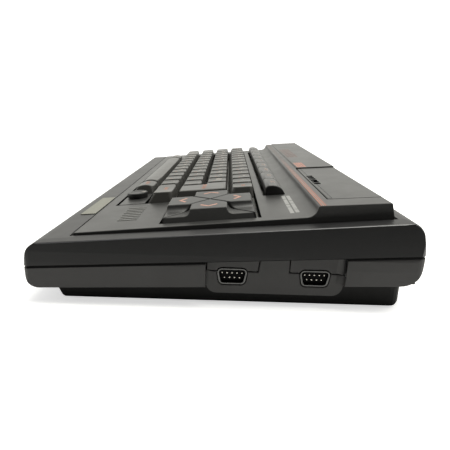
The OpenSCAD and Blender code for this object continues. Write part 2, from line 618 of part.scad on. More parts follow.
// One key cap over the cell between units u0 and u1 and rows k0 (rear) to k1 (front)
module cap_body(u0, u1, k0, k1, t) {
    x0 = unit_x(u1) + key_gap / 2 + t;
    x1 = unit_x(u0) - key_gap / 2 - t;
    s0 = key_s(k1 + 0.5) + key_gap / 2 + t;
    s1 = key_s(k0 - 0.5) - key_gap / 2 - t;
    low = key_low - (t > 0 ? 1 : 0);
    lean = t > 0 ? (key_h - low - t - 0.4) / (key_h - key_low) : 1;
    frustum(x0, x1, s0, s1, low, key_h - (t > 0 ? t + 0.4 : 0), top_in_x * lean, top_in_front[k1] * lean,
        top_in_rear * lean);
}
module stem(p) translate([p[0], p[1], stem_low]) cylinder(r = stem_r, h = key_h - cap_t - 0.2 - stem_low);
module key(u0, u1, k, at) on_plate() {
    difference() {
        cap_body(u0, u1, k, k, 0);
        cap_body(u0, u1, k, k, cap_t);
    }
    for (p = at) stem(p);
}
module run(k) for (i = [0:run_counts[k] - 1])
    key(run_firsts[k] + i, run_firsts[k] + i + 1, k, [run_stems(run_firsts[k], run_counts[k], k)[i]]);
key_grey = [0.2, 0.2, 0.2];
module number_keys() color(key_grey) run(0);
module upper_letter_keys() color(key_grey) run(1);
module home_letter_keys() color(key_grey) run(2);
module lower_letter_keys() color(key_grey) run(3);
module backspace_key() color(key_grey) key(0, 1, 0, [[unit_x(0.5), key_s(0)]]);
module tab_key() color(key_grey) key(12.5, 14, 1, [[unit_x(13.25), key_s(1)]]);
module control_key() color(key_grey) key(12.25, 14, 2, [[unit_x(13.125), key_s(2)]]);
module right_shift_key() color(key_grey) key(0, lower_first, 3, [[unit_x(0.875), key_s(3)]]);
module left_shift_key() color(key_grey) key(11.75, 14, 3, [[unit_x(12.875), key_s(3)]]);
module code_key() color(key_grey) key(code_u[0], code_u[1], 4, [[middle(code_u), key_s(4)]]);
module space_bar() color(key_grey) key(space_u[0], space_u[1], 4, space_stems);
module graph_key() color(key_grey) key(graph_u[0], graph_u[1], 4, [[middle(graph_u), key_s(4)]]);
// The return key covers two rows and is wider in the rear one
module return_key() color(key_grey) on_plate() {
    difference() {
        union() {
            cap_body(0, home_first, 1, 2, 0);
            cap_body(0, upper_first, 1, 1, 0);
        }
        cap_body(0, home_first, 1, 2, cap_t);
        cap_body(0, upper_first, 1, 1, cap_t);
    }
    stem(return_stem);
}

// Cursor keys: the block is split along its diagonals, and each key has a raised arm with hollow flanks
arm_r = 3.6;
arm_in = 2.5;
wing_h = 2.8;
module cursor_key(d) {
    across = d[0] == 0;
    reach = across ? cursor_l / 2 : cursor_w / 2;
    side = across ? cursor_w / 2 : cursor_l / 2;
    g = cursor_gap / 2;
    profile = concat([[-side, key_low], [side, key_low], [side, wing_h]],
        fillet([side, wing_h], [arm, wing_h], [arm - 0.3, key_h], arm_r), [[arm - 0.5, key_h], [0.5 - arm, key_h]],
        fillet([0.3 - arm, key_h], [-arm, wing_h], [-side, wing_h], arm_r), [[-side, wing_h]]);
    on_plate() translate(cursor_c) rotate(atan2(d[1], d[0])) {
        difference() {
            intersection() {
                rotate([90, 0, 90]) linear_extrude(reach) polygon(profile);
                translate([0, 0, -5]) linear_extrude(20)
                    polygon([[g * 2.2, 0], [reach - 0.01, -side + g * 2], [reach - 0.01, side - g * 2]]);
                rotate([90, 0, 0]) linear_extrude(2 * side, center = true)
                    polygon([[0, key_low], [reach, key_low], [reach - arm_in, key_h + 1], [0, key_h + 1]]);
            }
            translate([0, 0, -5]) linear_extrude(5 + wing_h - cap_t - 0.4)
                polygon([[g * 2.2 + 4, 0], [reach - cap_t - arm_in / 2, -side + g * 2 + 3.8],
                    [reach - cap_t - arm_in / 2, side - g * 2 - 3.8]]);
        }
        p = cursor_stem(d) - cursor_c;
        translate([norm(p), 0, stem_low]) cylinder(r = stem_r, h = wing_h - 0.5 - stem_low);
    }
}
module cursor_up_key() color(key_grey) cursor_key(cursor_dirs[0]);
module cursor_down_key() color(key_grey) cursor_key(cursor_dirs[1]);
module cursor_left_key() color(key_grey) cursor_key(cursor_dirs[2]);
module cursor_right_key() color(key_grey) cursor_key(cursor_dirs[3]);

// Function keys: a steep front, a round crown and a long fall to the rear
function fn_outline(t) = let (c = fn_w * 0.36, s0 = fn_s0 + t, a = fn_w - c - t, h = fn_h - t)
    concat([[s0, fn_low - (t > 0 ? 1 : 0)]], fillet([s0, fn_low], [s0 + 0.3, h], [s0 + c, h], 2.8 - t * 0.5),
        [for (i = [0:9]) let (q = 90 - 9 * i) [fn_s0 + c + a * cos(q), h * sin(q)]],
        [[fn_s0 + fn_w - t, 0], [fn_s0 + fn_w - t, fn_low - (t > 0 ? 1 : 0)]]);
module function_key(i) color(key_grey) on_plate() {
    x1 = fn_x1 - fn_pitch * (i - 1) - 0.3;
    x0 = fn_x1 - fn_pitch * i + 0.3;
    difference() {
        along_x(x0, x1) polygon(fn_outline(0));
        along_x(x0 + cap_t, x1 - cap_t) polygon(fn_outline(cap_t));
    }
    p = fn_stem(i);
    translate([p[0], p[1], stem_low]) cylinder(r = stem_r, h = fn_h - cap_t - 0.3 - stem_low + 0.6);
}
module function_key_1() function_key(1);
module function_key_2() function_key(2);
module function_key_3() function_key(3);
module function_key_4() function_key(4);
module function_key_5() function_key(5);
module function_key_6() function_key(6);
module function_key_7() function_key(7);
module function_key_8() function_key(8);
module function_key_9() function_key(9);

// Rotary knob on a small plate in the front right corner of the key well
knob_at = [unit_x(1.75) + 11.2, key_s(4) - 1];
knob_low = 0.5;
knob_high = 4.2;
module knob_base() color([0.17, 0.17, 0.175]) on_plate() difference() {
    block(unit_x(1.75) + 0.6, key_s(4.5) - 1.2, -2.3, key_x, key_s(3.5) - 1.1, 0.1);
    translate([knob_at[0], knob_at[1], -4]) cylinder(r = 3.3, h = 6);
}
module knob_pot() color([0.3, 0.3, 0.32]) on_plate() translate([knob_at[0], knob_at[1], frame_top]) difference() {
    cylinder(r = 7.5, h = -2.3 - frame_top);
    translate([0, 0, -1]) cylinder(r = 3.05, h = 12);
}
module rotary_knob() color([0.12, 0.12, 0.12]) on_plate() translate([knob_at[0], knob_at[1], 0]) {
    translate([0, 0, knob_low]) difference() {
        cylinder(d = knob_d, h = knob_high - knob_low, $fn = 64);
        translate([-0.4, 2, knob_high - knob_low - 0.4]) cube([0.8, knob_d / 2 - 2.6, 1]);
    }
    translate([0, 0, -8.5]) cylinder(r = 3, h = 8.5 + knob_low + eps);
}

// ---------------------------------------------------------------- ports
module port_shells() color([0.62, 0.62, 0.6]) for (y = port_ys) difference() {
    union() {
        along_x(ports_x - 3.6, ports_x - 2.7) translate([y, port_z]) square([31, 12.4], center = true);
        along_x(ports_x - 3.6, ports_x + 0.2) translate([y, port_z]) polygon(port_outline(0));
    }
    along_x(ports_x - 5, ports_x + 1) translate([y, port_z]) polygon(port_outline(-0.9));
}
module port_inserts() color([0.05, 0.05, 0.05]) for (y = port_ys) difference() {
    union() {
        along_x(ports_x - 3.6, ports_x - 2.2) translate([y, port_z]) polygon(port_outline(-0.95));
        block(ports_x - 14, y - 9.5, board_z + board_t, ports_x - 3.6, y + 9.5, port_z + 5.5);
    }
    for (p = pin_at(y)) translate([ports_x - 15, p[0], p[1]]) rotate([0, 90, 0]) cylinder(r = 0.52, h = 16);
}
function pin_at(y) = [for (r = [0, 1], i = [0:4 - r]) [y + (i - (4 - r) / 2) * 2.77, port_z + 1.42 - 2.84 * r]];
module port_pins() color([0.85, 0.8, 0.6]) for (y = port_ys, p = pin_at(y))
    translate([ports_x - 16, p[0], p[1]]) rotate([0, 90, 0]) cylinder(r = 0.5, h = 14.6);

// ---------------------------------------------------------------- inside
board_z = foot_h + 9.2;
board_t = 1.6;
board_x0 = -half_w + 126;
board_x1 = tray_x - wall - 2;
board_y0 = rear - 138;
board_y1 = rear - 11;
power_x0 = -half_w + 88;
power_x1 = board_x0 - 6;
board_at = [[board_x0 + 8, board_y0 + 8], [board_x1 - 8, board_y0 + 8], [board_x0 + 8, board_y1 - 40],
    [board_x1 - 8, board_y1 - 10], [power_x0 + 6, rear - 80], [power_x1 - 6, rear - 22]];
module board_cut() {
    for (p = board_at) translate([p[0], p[1], board_z - 1]) cylinder(r = 1.5, h = 4);
    for (p = boss_at) translate([p[0], p[1], board_z - 1]) cylinder(r = boss_r + 1, h = 4);
}
module main_board() color([0.15, 0.4, 0.2]) difference() {
    block(board_x0, board_y0, board_z, board_x1, board_y1, board_z + board_t);
    board_cut();
}
module power_board() color([0.5, 0.42, 0.22]) difference() {
    block(power_x0, rear - 86, board_z, power_x1, rear - 14, board_z + board_t);
    board_cut();
}
module board_screws() color([0.6, 0.6, 0.62]) for (p = board_at)
    translate([p[0], p[1], board_z + board_t + 1.6]) rotate([180, 0, 0]) screw(1.2, 2.5, 1.6, 6);

// Chips as [x, y, length, width] from the main board's left front corner
chip_h = 3.6;
chip_list = [[40, 22, 52, 14], [40, 48, 52, 14], [110, 22, 36, 8], [110, 38, 36, 8], [110, 54, 36, 8],
    [160, 22, 22, 7], [160, 36, 22, 7], [160, 50, 22, 7], [190, 22, 22, 7], [40, 74, 36, 8]];
module chips() color([0.05, 0.05, 0.05]) for (c = chip_list)
    translate([board_x0 + c[0], board_y0 + c[1], board_z + board_t]) difference() {
        translate([-c[2] / 2, -c[3] / 2, 0]) cube([c[2], c[3], chip_h]);
        translate([-c[2] / 2, 0, chip_h - 0.5]) cylinder(r = 1.2, h = 1);
    }
can_list = [[14, 70, 4], [14, 84, 4], [64, 90, 3.2], [76, 90, 3.2], [214, 60, 2.5], [214, 70, 2.5]];
module capacitors() color([0.15, 0.2, 0.45]) for (c = can_list)
    translate([board_x0 + c[0], board_y0 + c[1], board_z + board_t]) cylinder(r = c[2], h = c[2] * 3);

slot_y = rear - 38;
slot_l = 68;
module cartridge_connector() color([0.06, 0.06, 0.06]) {
    x = (flap_x0 + flap_x1) / 2;
    z0 = board_z + board_t;
    difference() {
        block(x - slot_l / 2 - 4, slot_y - 5, z0, x + slot_l / 2 + 4, slot_y + 5, z0 + 15);
        block(x - slot_l / 2, slot_y - 1, z0 + 5, x + slot_l / 2, slot_y + 1, z0 + 16);
        block(x - slot_l / 2 - 1, slot_y - 2, z0 + 13, x + slot_l / 2 + 1, slot_y + 2, z0 + 16);
    }
}

module transformer() color([0.35, 0.3, 0.28]) {
    x0 = -half_w + 30;
    block(x0, rear - 62, floor_z, x0 + 50, rear - 20, floor_z + 3);
    block(x0 + 2, rear - 57, floor_z + 3, x0 + 48, rear - 25, floor_z + 38);
    block(x0 + 11, rear - 64, floor_z + 9, x0 + 39, rear - 18, floor_z + 32);
}
module heat_sink() color([0.75, 0.75, 0.77]) {
    x0 = power_x0 + 3;
    z0 = board_z + board_t;
    block(x0, rear - 62, z0, x0 + 3, rear - 26, z0 + 26);
    for (i = [0:5]) block(x0 + 2.9, rear - 62 + i * 6.6, z0 + 4, x0 + 12, rear - 60.4 + i * 6.6, z0 + 26);
}

// Sockets in the rear wall
socket_z = foot_h + 22.8;
phono_x = [138, 124];
jack_r = 4.15;
jack_l = 7;
round_x = [100, 76];
round_r = 7.4;
printer_x = 34;
printer_l = 46;
inlet_x = -half_w + 54;
switch_x = -half_w + 94;
switch_low = rear_low + wall + 0.2;
socket_low = board_z + board_t;
module phono_jacks() color([0.8, 0.7, 0.3]) for (x = phono_x) difference() {
    union() {
        block(x - 5.5, board_y1 - 10, socket_low, x + 5.5, recess_y - 2.1, socket_z + 5.5);
        translate([x, recess_y - 3, socket_z]) rotate([-90, 0, 0]) cylinder(r = jack_r + 0.25, h = 3);
        translate([x, recess_y - 3, socket_z]) rotate([-90, 0, 0]) cylinder(r = jack_r, h = jack_l + 3);
    }
    translate([x, recess_y, socket_z]) rotate([-90, 0, 0]) cylinder(r = 1.6, h = 9);
}
module round_sockets() color([0.08, 0.08, 0.08]) for (x = round_x) difference() {
    union() {
        block(x - 8.5, board_y1 - 12, socket_low, x + 8.5, recess_y - 2.1, socket_z + 8);
        translate([x, recess_y - 3, socket_z]) rotate([-90, 0, 0]) cylinder(r = round_r, h = 4.5);
    }
    translate([x, recess_y - 1, socket_z]) rotate([-90, 0, 0]) difference() {
        cylinder(r = 6.4, h = 4);
        translate([0, 0, -1]) cylinder(r = 5.4, h = 3);
    }
    for (a = [0:45:180]) translate([x + 3.5 * cos(a), recess_y - 4, socket_z + 3.5 * sin(a) - 1.5])
        rotate([-90, 0, 0]) cylinder(r = 0.7, h = 8);
}
module printer_connector() color([0.3, 0.32, 0.34]) difference() {
    union() {
        block(printer_x - printer_l / 2 - 2, board_y1 - 12, socket_low, printer_x + printer_l / 2 + 2, recess_y - 2.1,
            socket_z + 6);
        block(printer_x - printer_l / 2, recess_y - 3, socket_z - 5, printer_x + printer_l / 2, recess_y + 5, socket_z + 5);
    }
    difference() {
        block(printer_x - printer_l / 2 + 1, recess_y - 1, socket_z - 4, printer_x + printer_l / 2 - 1, recess_y + 6,
            socket_z + 4);
        block(printer_x - printer_l / 2 + 5, recess_y - 2, socket_z - 1.6, printer_x + printer_l / 2 - 5, recess_y + 4,
            socket_z + 1.6);
    }
}
module power_inlet() color([0.06, 0.06, 0.06]) {
    difference() {
        block(inlet_x - 11, rear - 14, socket_z - 6, inlet_x + 11, rear + flange_out - 0.3, socket_z + 6);
        for (x = [-4.3, 4.3]) translate([inlet_x + x, rear - 11, socket_z]) rotate([-90, 0, 0]) cylinder(r = 4, h = 15);
        block(inlet_x - 4, rear - 11, socket_z - 2.2, inlet_x + 4, rear + 4, socket_z + 2.2);
    }
    for (x = [-4.3, 4.3]) translate([inlet_x + x, rear - 12, socket_z]) rotate([-90, 0, 0]) cylinder(r = 1.2, h = 10);
}
// Rear power switch: a rocker on a short axle
rocker_r = 1.2;
rocker_tilt = 8.5;
rocker_y = rear + flange_out - 5;
module switch_body() color([0.06, 0.06, 0.06]) difference() {
    block(switch_x - 10, rear - 14, switch_low, switch_x + 10, rear + flange_out - 0.3, socket_z + 6.5);
    block(switch_x - 8, rear - 9, socket_z - 4.6, switch_x + 8, rear + 4, socket_z + 4.6);
    translate([switch_x, rocker_y, socket_z - 6]) cylinder(r = rocker_r + 0.05, h = 12);
}
module power_rocker() color([0.1, 0.1, 0.1]) {
    translate([switch_x, rocker_y, socket_z - 4.2]) rotate(rocker_tilt) linear_extrude(8.4)
        polygon([[-7, 1.7], [-7.2, 3.9], [0, 2.8], [7.2, 3.9], [7, 1.7], [2, -1.6], [-2, -1.6]]);
    translate([switch_x, rocker_y, socket_z - 5.8]) cylinder(r = rocker_r, h = 11.6);
}

top_case();
keyboard_panel();
bottom_case();
name_plate();
rubber_feet();
case_screws();
keyboard_screws();
keyboard_frame();
dome_mat();
keyboard_board();
main_board();
chips();
capacitors();
cartridge_connector();
flap_pin();
flap_spring();
port_shells();
port_inserts();
port_pins();
transformer();
power_board();
heat_sink();
power_inlet();
switch_body();
phono_jacks();
round_sockets();
printer_connector();
knob_base();
knob_pot();
board_screws();
rotary_knob();
cartridge_flap();
power_rocker();
space_bar();
return_key();
backspace_key();
right_shift_key();
left_shift_key();
tab_key();
control_key();
code_key();
graph_key();
cursor_up_key();
cursor_down_key();
cursor_left_key();
cursor_right_key();
number_keys();
upper_letter_keys();
home_letter_keys();
lower_letter_keys();
function_key_1();
function_key_2();
function_key_3();
function_key_4();
function_key_5();
function_key_6();
function_key_7();
function_key_8();
function_key_9();
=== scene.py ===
"""A wedge-shaped vintage home computer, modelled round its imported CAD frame."""

import math

import bmesh
import bpy
from bpy.props import FloatProperty, FloatVectorProperty, PointerProperty
from mathutils import Matrix, Vector
from mathutils.bvhtree import BVHTree
from mathutils.geometry import area_tri, delaunay_2d_cdt


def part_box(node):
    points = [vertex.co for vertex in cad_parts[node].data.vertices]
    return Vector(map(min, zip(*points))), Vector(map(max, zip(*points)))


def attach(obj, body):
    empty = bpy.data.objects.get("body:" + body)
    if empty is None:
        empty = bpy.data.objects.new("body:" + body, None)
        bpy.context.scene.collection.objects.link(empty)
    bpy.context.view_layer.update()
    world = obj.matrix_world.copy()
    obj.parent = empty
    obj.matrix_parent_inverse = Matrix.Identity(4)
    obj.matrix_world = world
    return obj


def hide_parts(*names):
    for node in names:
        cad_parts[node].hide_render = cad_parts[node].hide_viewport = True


bl_info = {
    "name": "Vintage home computer",
    "version": (1, 0, 0),
    "blender": (4, 5, 0),
    "location": "View3D > Sidebar > Computer",
    "description": "Builds the case, keys, ports and stage of a vintage home computer",
    "category": "Add Mesh",
}

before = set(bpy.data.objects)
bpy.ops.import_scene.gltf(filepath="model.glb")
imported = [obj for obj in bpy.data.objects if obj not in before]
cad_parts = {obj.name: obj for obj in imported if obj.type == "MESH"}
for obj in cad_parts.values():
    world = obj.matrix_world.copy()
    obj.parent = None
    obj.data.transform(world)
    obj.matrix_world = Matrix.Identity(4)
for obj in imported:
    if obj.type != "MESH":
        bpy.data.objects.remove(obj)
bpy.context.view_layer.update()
MM = 0.001

# The keyboard panel's plane: x along the keys, s up its slope, n square to it
PLATE_TILT = math.radians(5.65)
PLATE_Z = 47.5 * MM
ON_PLATE = Matrix.Translation((0, 0, PLATE_Z)) @ Matrix.Rotation(PLATE_TILT, 4, "X")

# The key grid: cells counted from the right end of the rows, rows from the rear
KEY_PITCH = 19.05 * MM
KEY_X = 111 * MM
ROW_S0 = 9.845 * MM
KEY_LOW = -1.2 * MM
KEY_HIGH = 6.7 * MM
STEM_LOW = -13.2 * MM
STEM_R = 3.5 * MM
# How far a key's top is set back from its sides, its rear and, row by row, its front edge
TOP_IN_X = 1.9 * MM
TOP_IN_REAR = 0.4 * MM
TOP_IN_FRONT = [v * MM for v in (3.7, 3.7, 4.4, 4.5, 4.5)]
# How far the bottom row's tops are arched
CROWN = 1.2 * MM

# The raised deck behind the keys
DECK_FRONT = 50.4 * MM
DECK_Z = 58.5 * MM
DECK_TILT = math.radians(4.2)
DECK_STEP = 0.9 * MM

# The white table ends here, in front of the computer's right side
TABLE_EDGE = 0.33

# The photograph's viewpoint: place, and yaw, pitch and roll
VIEWPOINT = (0.385527, 0.000645, 0.109951)
VIEW_TURN = (-0.005, 0.291, 0.028)

# The light from above: place, size and tint
LAMP_PLACE = Vector((0.1, 0.35, 1.15))
LAMP_SIZE = (0.9, 1.2)
WARM = (1.0, 0.99, 0.925)

# The case's outer faces lie beyond RIM_X, and its upper edge above RIM_Z
RIM_X = 181.5 * MM
RIM_Z = 36 * MM
# The seam between the shells lies above this height; the lower shell's upward faces there get a
# painted shade
SEAM_Z = 20 * MM
# The top shell's lugs beside the ports, which get the lower shell's lighter colour as painted
# light: from, to and up to
LUG_X0, LUG_X1, LUG_Z = 178 * MM, 181.9 * MM, 32 * MM
# Half width and height of the tray under the case, whose faces get a painted shade that darkens
# towards the floor
TRAY_X = 176.4 * MM
TRAY_Z = 13.2 * MM
# Half width, front and rear of the well round the keys, whose walls get a painted shade
WELL_X, WELL_FRONT, WELL_REAR = 170 * MM, -80 * MM, 49 * MM

# The cursor keys' common centre on the panel
CURSOR_CENTRE = (139.4 * MM, -9.747 * MM)
# The ports: middles along the side, height, and spacing of the pins and of their rows
PORT_YS = (4.3, 50.1)
PORT_Z, PIN_PITCH, PIN_ROWS = 18.9, 2.77, 2.84

# How far ink lies over its surface
INK_LIFT = 0.04 * MM
LEGEND_LIFT = 0.05 * MM

# Least height of a face that is shaded flat
PLAIN = 1.8 * MM
# A rounding strays from its edge past STRAY widths, and is left out within REACH of there
STRAY, REACH = 2.6, 3


def unit_x(u):
    """Place across the panel, counted in key widths from the right"""
    return KEY_X - u * KEY_PITCH


def row_s(k):
    """Place up the panel's slope of row k, counted from the rear"""
    return ROW_S0 - k * KEY_PITCH


def deck_z(y):
    """Height of the flap's and the deck's front surface"""
    return DECK_Z + (y - DECK_FRONT) * math.tan(DECK_TILT)


# ---- settings


def colour_setting(name, description, default):
    return FloatVectorProperty(
        name=name, description=description, subtype="COLOR", size=3, min=0, max=1, default=default
    )


def number_setting(name, description, default, high, low=0, **more):
    return FloatProperty(
        name=name, description=description, min=low, max=high, default=default, **more
    )


def length_setting(name, description, default, high):
    return number_setting(name, description, default, high, unit="LENGTH", precision=5)


class CaseSettings(bpy.types.PropertyGroup):
    """Looks of the case shells and what is printed on them"""

    shell: colour_setting("Shell", "Colour of the case shells", (0.0065, 0.0065, 0.0072))
    # The lower shell's colour is set lighter than the upper shell's, a painted light for the
    # floor's bounce onto its sides
    lower: colour_setting("Lower shell", "Colour of the lower shell's sides", (0.03, 0.029, 0.029))
    # The tray's near black, partly painted shade under the case, is also the painted shade in the
    # wells round the keys, along the seam and round the knob ledge
    tray: colour_setting("Tray", "Colour of the tray under the case", (0.003, 0.003, 0.003))
    panel: colour_setting("Panel", "Colour of the keyboard panel and deck", (0.026, 0.026, 0.025))
    stripe: colour_setting("Stripe", "Colour of the stripes along the deck", (0.4, 0.12, 0.06))
    print_grey: colour_setting("Print", "Colour of the pale printed bars", (0.26, 0.26, 0.25))
    edge: length_setting("Edge", "Rounding of the case's edges", 0.45 * MM, 0.002)
    rim: length_setting("Rim", "Rounding of the rim's outer edge", 1.1 * MM, 0.003)


class KeySettings(bpy.types.PropertyGroup):
    """Looks of the keys and the knob"""

    cap: colour_setting("Cap", "Colour of the key caps", (0.047, 0.046, 0.042))
    cursor: colour_setting("Cursor", "Colour of the cursor keys", (0.034, 0.034, 0.033))
    function_cap: colour_setting("Function cap", "Colour of the function keys", (0.014,) * 3)
    legend: colour_setting("Legend", "Colour of the main legends", (0.55, 0.5, 0.44))
    accent: colour_setting("Accent", "Colour of the orange legends", (0.5, 0.17, 0.08))
    dish: length_setting("Dish", "Depth of the hollow in a key's top", 0.45 * MM, 0.001)
    edge: length_setting("Edge", "Rounding of a key's top", 0.7 * MM, 0.0015)


class StageSettings(bpy.types.PropertyGroup):
    """Floor, light and camera"""

    floor: colour_setting("Floor", "Colour of the floor", (0.86, 0.86, 0.85))
    sky: number_setting("Sky", "Strength of the soft light from all round", 0.62, 2)
    mirror: number_setting("Mirror", "Brightness of what glossy surfaces mirror", 1.25, 2)
    lamp: number_setting("Lamp", "Power of the overhead lamp", 17, 100, unit="POWER")
    lens: number_setting(
        "Lens", "Focal length of the camera", 32.206, 200, 10, subtype="DISTANCE_CAMERA"
    )


# ---- materials


def node(tree, kind, **inputs):
    """A shader node with its inputs set or linked, and its properties set"""
    made = tree.nodes.new("ShaderNode" + kind)
    for key, value in inputs.items():
        if key not in made.inputs:
            setattr(made, key, value)
        elif isinstance(value, bpy.types.NodeSocket):
            tree.links.new(value, made.inputs[key])
        else:
            made.inputs[key].default_value = value
    return made


def start_material(name):
    """A new material with its nodes and shader, or an earlier one without them"""
    made = bpy.data.materials.get(name)
    if made:
        return made, None, None
    made = bpy.data.materials.new(name)
    made.use_nodes = True
    tree = made.node_tree
    return made, tree, tree.nodes["Principled BSDF"]


def object_place(tree):
    return node(tree, "TexCoord").outputs["Object"]


def noise(tree, scale, detail=3.0, roughness=0.5, place=None):
    place = place or object_place(tree)
    made = node(tree, "TexNoise", Vector=place, Scale=scale, Detail=detail, Roughness=roughness)
    return made.outputs["Fac"]


def remap(tree, value, start, end, low, high, curve="LINEAR"):
    """Carries a value over from the range start to end to the range low to high"""
    limits = {"From Min": start, "From Max": end, "To Min": low, "To Max": high}
    made = node(tree, "MapRange", interpolation_type=curve, Value=value, **limits)
    return made.outputs["Result"]


def spread(tree, fac, low, high):
    """Spreads a noise over a range"""
    return remap(tree, fac, 0.3, 0.7, low, high)


def blend(tree, fac, first, last):
    """Blends two colours"""
    ends = {"A": (*first, 1), "B": (*last, 1)}
    return node(tree, "Mix", data_type="RGBA", Factor=fac, **ends).outputs["Result"]


def mottle(tree, fac, colour, amount):
    """A colour that varies to both sides by an amount"""
    ends = [[min(1, c * (1 + change)) for c in colour] for change in (-amount, amount)]
    return blend(tree, fac, *ends)


def coat(tree, shader, colour, rough):
    """Gives a shader its colour and its roughness"""
    tree.links.new(colour, shader.inputs["Base Color"])
    tree.links.new(rough, shader.inputs["Roughness"])


def bump(tree, shader, fac, strength, distance):
    made = node(tree, "Bump", Strength=strength, Distance=distance, Height=fac)
    tree.links.new(made.outputs["Normal"], shader.inputs["Normal"])


def moulded(name, colour, rough=0.4, grain=1500.0, depth=0.12, amount=0.12, sheen=0.5):
    """Moulded plastic: a fine even grain, with slight handling marks in its sheen"""
    made, tree, shader = start_material(name)
    if tree:
        shader.inputs["Specular IOR Level"].default_value = sheen
        handled = spread(tree, noise(tree, 55, 6, 0.6), rough - 0.025, rough + 0.03)
        coat(tree, shader, mottle(tree, noise(tree, 22, 5), colour, amount), handled)
        bump(tree, shader, noise(tree, grain, 2), depth, 0.1 * MM)
    return made


def ink(name, colour):
    """Printed ink, slightly uneven"""
    made, tree, shader = start_material(name)
    if tree:
        uneven = mottle(tree, noise(tree, 900, 3), colour, 0.12)
        coat(tree, shader, uneven, spread(tree, noise(tree, 300, 2), 0.4, 0.55))
    return made


def fading(name, first, last, axis, start, end, sheen=0.5):
    """A material whose colour fades between two places along an axis, used for inks and for
    painted shade
    """
    made, tree, shader = start_material(name)
    if tree:
        shader.inputs["Specular IOR Level"].default_value = sheen
        parts = node(tree, "SeparateXYZ", Vector=object_place(tree))
        run = remap(tree, parts.outputs[axis], start, end, 0, 1)
        rough = spread(tree, noise(tree, 300, 2), 0.4, 0.5)
        coat(tree, shader, blend(tree, run, first, last), rough)
    return made


def bare_metal(name, colour, rough=0.3, scale=400.0, amount=0.06):
    """Metal with fine marks in its finish"""
    made, tree, shader = start_material(name)
    if tree:
        shader.inputs["Metallic"].default_value = 1.0
        marked = spread(tree, noise(tree, scale, 5, 0.6), rough - 0.07, rough + 0.1)
        coat(tree, shader, mottle(tree, noise(tree, 90, 4), colour, amount), marked)
        bump(tree, shader, noise(tree, scale * 3, 2), 0.06, 0.05 * MM)
    return made


def brushed(name, colour, rough=0.35):
    """Sheet metal brushed along X"""
    made, tree, shader = start_material(name)
    if tree:
        shader.inputs["Metallic"].default_value = 0.6
        stretch = node(tree, "Mapping", Vector=object_place(tree), Scale=(60, 4000, 4000))
        lines = noise(tree, 1.0, 4.0, place=stretch.outputs["Vector"])
        sheen = spread(tree, lines, rough - 0.08, rough + 0.1)
        coat(tree, shader, mottle(tree, lines, colour, 0.1), sheen)
        bump(tree, shader, lines, 0.1, 0.05 * MM)
    return made


def laminate(name, colour):
    """Lacquered circuit board with a faint weave and copper tracks showing through"""
    made, tree, shader = start_material(name)
    if tree:
        cells = {"Vector": object_place(tree), "Scale": 260.0, "distance": "MANHATTAN"}
        weave = node(tree, "TexVoronoi", **cells).outputs["Distance"]
        ramp = node(tree, "ValToRGB", Fac=weave)
        ramp.color_ramp.elements[0].color = [c * 0.7 for c in colour] + [1]
        ramp.color_ramp.elements[1].color = [min(1, c * 1.5 + 0.02) for c in colour] + [1]
        ramp.color_ramp.interpolation = "CONSTANT"
        ramp.color_ramp.elements[1].position = 0.42
        coat(tree, shader, ramp.outputs["Color"], spread(tree, noise(tree, 300, 3), 0.25, 0.4))
        bump(tree, shader, weave, 0.1, 0.1 * MM)
    return made


# ---- mesh helpers


def add_object(name, data):
    made = bpy.data.objects.new(name, data)
    bpy.context.scene.collection.objects.link(made)
    return made


def finish_piece(bm, name, body, slot, materials, replaced=(), angle=30.0):
    """Turns a bmesh into a piece that rides on a body, smooth on curves and flat on plain faces"""
    limit = math.radians(angle)
    for f in bm.faces:
        f.smooth = not plain(f)
    for e in bm.edges:
        e.smooth = len(e.link_faces) == 2 and e.calc_face_angle(0) < limit
    split_holed(bm)
    mesh = bpy.data.meshes.new(name)
    bm.to_mesh(mesh)
    bm.free()
    piece = add_object(name, mesh)
    for made in materials:
        mesh.materials.append(made)
    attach(piece, body)
    if replaced:
        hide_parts(*replaced)
    return piece


def split_holed(bm):
    """Splits the faces whose usual triangles would cover a hole in them"""
    covered = {}
    bm.faces.ensure_lookup_table()
    for loops in bm.calc_loop_triangles():
        face = loops[0].face
        covered[face] = covered.get(face, 0) + area_tri(*(loop.vert.co for loop in loops))
    for face in [f for f, area in covered.items() if area > 1.005 * f.calc_area() + 1e-8]:
        turn = face.normal.rotation_difference(Vector((0, 0, 1)))
        back = turn.inverted()
        verts = [loop.vert for loop in face.loops]
        placed = [turn @ v.co for v in verts]
        level = sum(p.z for p in placed) / len(placed)
        rim = [p.xy for p in placed]
        sides = [(i, (i + 1) % len(rim)) for i in range(len(rim))]
        points, _, triangles, sources = delaunay_2d_cdt(rim, sides, [], 0, 1e-7)[:4]
        corners = [verts[source[0]] if source else None for source in sources]
        for triangle in triangles:
            centre = (points[triangle[0]] + points[triangle[1]] + points[triangle[2]]) / 3
            if turns_round(centre, rim):
                for i in triangle:
                    if corners[i] is None:
                        corners[i] = bm.verts.new(back @ Vector((*points[i], level)))
                made = [corners[i] for i in triangle]
                if len(set(made)) == 3 and not bm.faces.get(made):
                    new = bm.faces.new(made, face)
                    new.smooth = face.smooth
                    new.normal_update()
                    if new.normal.dot(face.normal) < 0:
                        new.normal_flip()
        bmesh.ops.delete(bm, geom=[face], context="FACES_ONLY")


def turns_round(point, rim):
    """Whether a closed line goes round a point"""
    total = 0
    for a, b in zip(rim, rim[1:] + rim[:1]):
        p, q = a - point, b - point
        total += math.atan2(p.x * q.y - p.y * q.x, p.dot(q))
    return abs(total) > math.pi


def plain(face):
    """A face too large to be one strip of a curve"""
    return 2 * face.calc_area() / max(e.calc_length() for e in face.edges) > PLAIN


def cad_copy(node_name):
    """A merged copy of a CAD node's mesh, with its flat faces whole"""
    bm = bmesh.new()
    bm.from_mesh(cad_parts[node_name].data)
    bmesh.ops.remove_doubles(bm, verts=bm.verts, dist=1.5e-5)
    bmesh.ops.dissolve_limit(bm, angle_limit=math.radians(0.6), verts=bm.verts, edges=bm.edges)
    return bm


